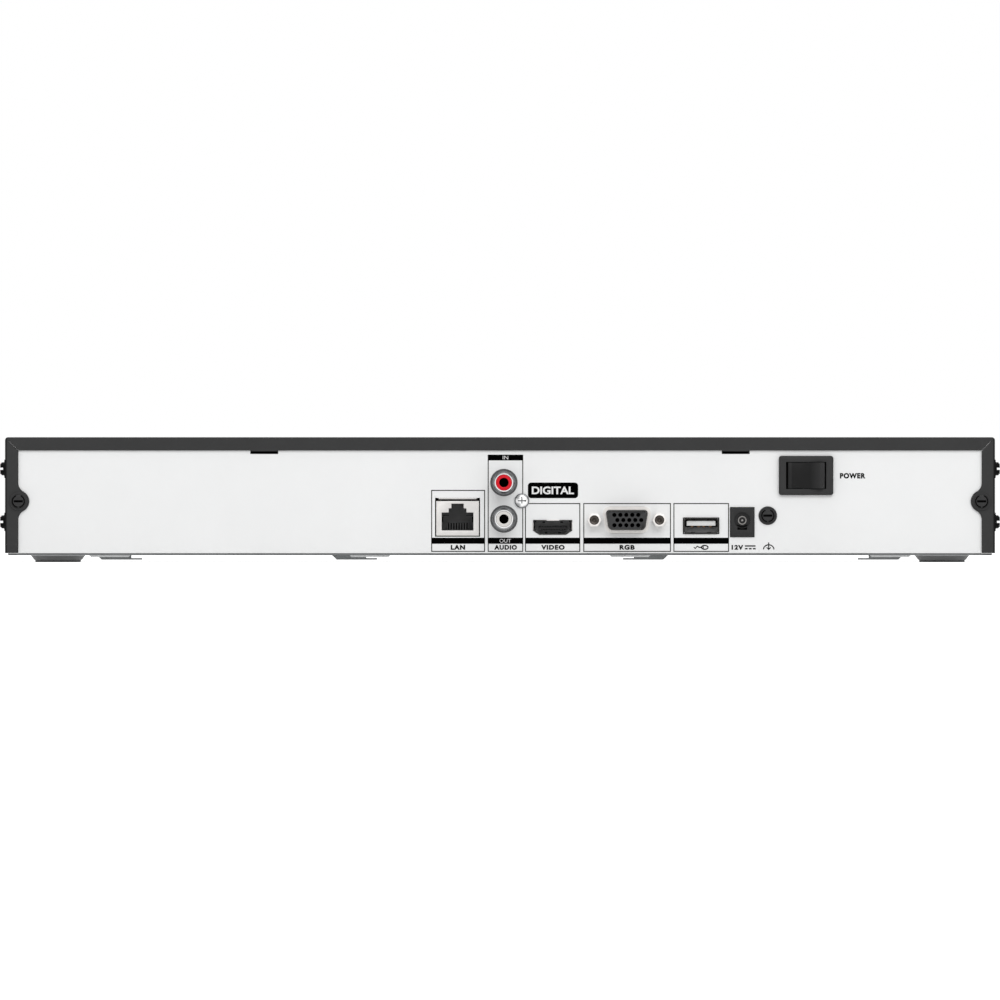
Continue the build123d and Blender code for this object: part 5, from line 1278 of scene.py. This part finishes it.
# A shallow liner across the bore, its middle painted darker, as shade.
bore_liner = turned([(3.12, -1.4), (3.12, -0.3), (1.7, -0.34), (1.7, -9.0)], 64)
on_place(rounded(bore_liner, 0), power_across, power_height)
settle(on_panel(bore_liner), "bore_liner", jack_moulding)
repaint(
    bore_liner,
    moulding_painted_shade,
    lambda centre, normal: from_axis(centre, power_across, power_height) < 2.6,
)
# A black piece in the slot under the pin, as painted shade.
leaf_gap_shade = on_place(
    turned([(2.75, -0.6), (2.75, -0.1)], 64), power_across, power_height
)
leaf_gap_shade = carved(
    leaf_gap_shade,
    block(88.0, 98.0, power_height - 1.65, 21.0, -2.0, 1.0),
    on_place(turned([(2.5, -2), (2.5, 1)], 64), power_across, power_height + 0.4),
)
settle(on_panel(leaf_gap_shade), "leaf_gap_shade", painted_shade_black)
pin = turned(
    [
        (1.68, -8.4), (1.68, -1.2), (1.6, -1.0), (1.3, -1.0), (1.22, -0.8), (1.1, -0.8),
        (0.9, -0.8), (0.75, -0.45), (0.42, -0.5), (0.36, -0.22), (0.15, -0.2),
    ],
    40,
)
on_place(rounded(pin, 0), power_across, power_height)
# The pin's nickel is darker than the barrels', as painted shade.
pin_nickel = finish(
    "pin_nickel", (0.30, 0.29, 0.28), 0.3, metallic=1.0, clouds=500, spread=0.08,
    depth=0.002 * mm,
)
settle(on_panel(pin), "turned_pin", pin_nickel)
# The slope round the pin's tip is painted black, as shade.
repaint(
    pin,
    jack_moulding,
    lambda centre, normal: 0.4 < from_axis(centre, power_across, power_height) < 1.22,
)
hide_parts("power_jack_pin")
# The leaf spring is painted black, as shade.
dress("power_jack_leaf", painted_shade_black)

# --------------------------------------
# Rocker switch
# A moulded housing snapped into the panel, with a dished rocker on two pivots and two plated
# tabs behind. Seen from behind, the rocker's face is painted lighter toward its right end and in a
# band near its left, and darkest at its left edge, as painted light and painted shade.
# --------------------------------------

switch_moulding = finish(
    "switch_moulding", (0.0225, 0.0225, 0.0228), 0.5, grain=5000, depth=0.01 * mm, clouds=200,
    spread=0.05, specular=0.25,
)
rocker_painted_light_and_shade = finish(
    "rocker_painted_light_and_shade", (0.0115, 0.0115, 0.0117), 0.4, grain=5000, depth=0.004 * mm, clouds=200,
    spread=0.05, specular=0.1,
)
softened("switch_housing", 0.3, switch_moulding)
# Painted light toward the rocker's right end and in a band near its left, painted shade at its left
# edge.
for edge, soft, above, tone in (
    (-121.75, 2.75, False, (0.039, 0.039, 0.0395, 1)),
    (-124.0, 0.6, False, (0.07, 0.07, 0.071, 1)),
    (-111.95, 0.12, True, (0.0215, 0.0215, 0.0218, 1)),
    (-110.75, 0.5, True, (0.004, 0.004, 0.004, 1)),
):
    overlay(rocker_painted_light_and_shade, beyond(rocker_painted_light_and_shade, "X", edge * mm, soft * mm, above), tone)
softened("switch_rocker", 0.15, rocker_painted_light_and_shade, body="rocker")
dress("switch_terminals", bright_nickel)

# --------------------------------------
# Main board
# A green-lacquered board with copper runs under the lacquer, on brass standoffs, with its
# processor, heat sink, memory, capacitors, coin cell and sockets.
# --------------------------------------

board_lacquer = finish(
    "board_lacquer", (0.012, 0.075, 0.035), 0.35, clouds=90, spread=0.15, grain=3000,
    depth=0.02 * mm,
)
nodes, links = tree_of(board_lacquer)
run_place = nodes.new("ShaderNodeTexCoord")
run_grid = added(
    nodes, "ShaderNodeTexBrick", Scale=160.0, Color1=black, Color2=black, Mortar=white
)
run_grid.inputs["Mortar Size"].default_value = 0.02
links.new(run_place.outputs["Object"], run_grid.inputs["Vector"])
overlay(board_lacquer, run_grid.outputs["Color"], (0.02, 0.12, 0.05, 1))
for node in ("main_board", "lamp_board", "front_usb_board", "drive_boards"):
    dress(node, board_lacquer)
brass = finish("turned_brass", (0.56, 0.40, 0.16), 0.3, metallic=1.0, clouds=500, spread=0.08)
board_zinc = finish("screw_zinc", (0.60, 0.60, 0.58), 0.32, metallic=1.0, clouds=500, spread=0.08)
chip_black = finish(
    "chip_epoxy", (0.014, 0.014, 0.015), 0.45, grain=7000, depth=0.02 * mm, clouds=300,
    spread=0.08,
)
anodised = finish(
    "black_anodising", (0.025, 0.025, 0.027), 0.4, metallic=0.6, clouds=200, spread=0.12,
    stretch=(1, 0.1, 1),
)
can_metal = finish("can_sleeve", (0.60, 0.61, 0.62), 0.35, metallic=1.0, clouds=400, spread=0.06)
ivory = finish("ivory_moulding", (0.62, 0.58, 0.45), 0.5, clouds=300, spread=0.05)
for node, paint in (
    ("board_standoffs", brass),
    ("board_screws", board_zinc),
    ("processor", chip_black),
    ("memory_chips", chip_black),
    ("heat_sink", anodised),
    ("capacitors", can_metal),
    ("cell_holder", dark_moulding),
    ("coin_cell", bright_zinc),
    ("board_sockets", ivory),
):
    dress(node, paint)

# --------------------------------------
# Drives
# Two disk drives: cast aluminium cases with bright lids, a board under each, plugs at their
# rear and flat-headed screws from below.
# --------------------------------------

casting = finish(
    "drive_casting", (0.10, 0.10, 0.105), 0.5, metallic=0.8, grain=1500, depth=0.03 * mm,
    clouds=120, spread=0.15,
)
lid_steel = finish(
    "drive_lid", (0.55, 0.56, 0.57), 0.32, metallic=1.0, clouds=60, spread=0.05,
    stretch=(1, 0.05, 1),
)
dress("drive_cases", casting)
dress("drive_lids", lid_steel)
dress("drive_screws", board_zinc)
dress("drive_plugs", dark_moulding)

# --------------------------------------
# Fan
# A moulded square frame with a seven-bladed impeller that runs on an axle, held to the base's
# tab by four screws.
# --------------------------------------

fan_moulding = finish(
    "fan_moulding", (0.022, 0.022, 0.023), 0.5, grain=3500, depth=0.015 * mm, clouds=150,
    spread=0.08,
)
blade_moulding = finish(
    "blade_moulding", (0.03, 0.03, 0.032), 0.38, grain=3500, depth=0.008 * mm, clouds=150,
    spread=0.08,
)
dress("fan_frame", fan_moulding)
dress("fan_impeller", blade_moulding)
dress("fan_screws", board_zinc)

# --------------------------------------
# Leads
# Insulated leads from the board to the drives, the fan, the switch and the front, each in one
# soft plastic sleeve.
# --------------------------------------

data_sleeve = finish("red_sleeve", (0.42, 0.02, 0.02), 0.45, clouds=250, spread=0.08)
power_sleeve = finish("yellow_sleeve", (0.60, 0.42, 0.03), 0.45, clouds=250, spread=0.08)
black_sleeve = finish("black_sleeve", (0.02, 0.02, 0.02), 0.5, clouds=250, spread=0.12)
for node, paint in (
    ("drive_data_leads", data_sleeve),
    ("drive_power_leads", power_sleeve),
    ("front_looms", black_sleeve),
    ("fan_lead", black_sleeve),
    ("switch_leads", power_sleeve),
):
    dress(node, paint)

# --------------------------------------
# Front
# A crowned black moulding with a smoked window strip, three lamps behind it, and a USB socket,
# screwed to the base's front wall from inside.
# --------------------------------------

bezel_moulding = finish(
    "bezel_moulding", (0.022, 0.022, 0.0225), 0.5, grain=2600, depth=0.02 * mm, clouds=50,
    spread=0.06,
)
softened("front_bezel", 0.3, bezel_moulding)
smoked = finish(
    "smoked_window", (0.004, 0.004, 0.006), 0.06, clouds=60, spread=0.1, gloss_spread=0.02,
    coat=0.6,
)
softened("front_window", 0.2, smoked)
lamp_resin = finish("lamp_resin", (0.62, 0.66, 0.60), 0.25, clouds=400, spread=0.04)
dress("light_pipes", lamp_resin)
dress("bezel_screws", board_zinc)
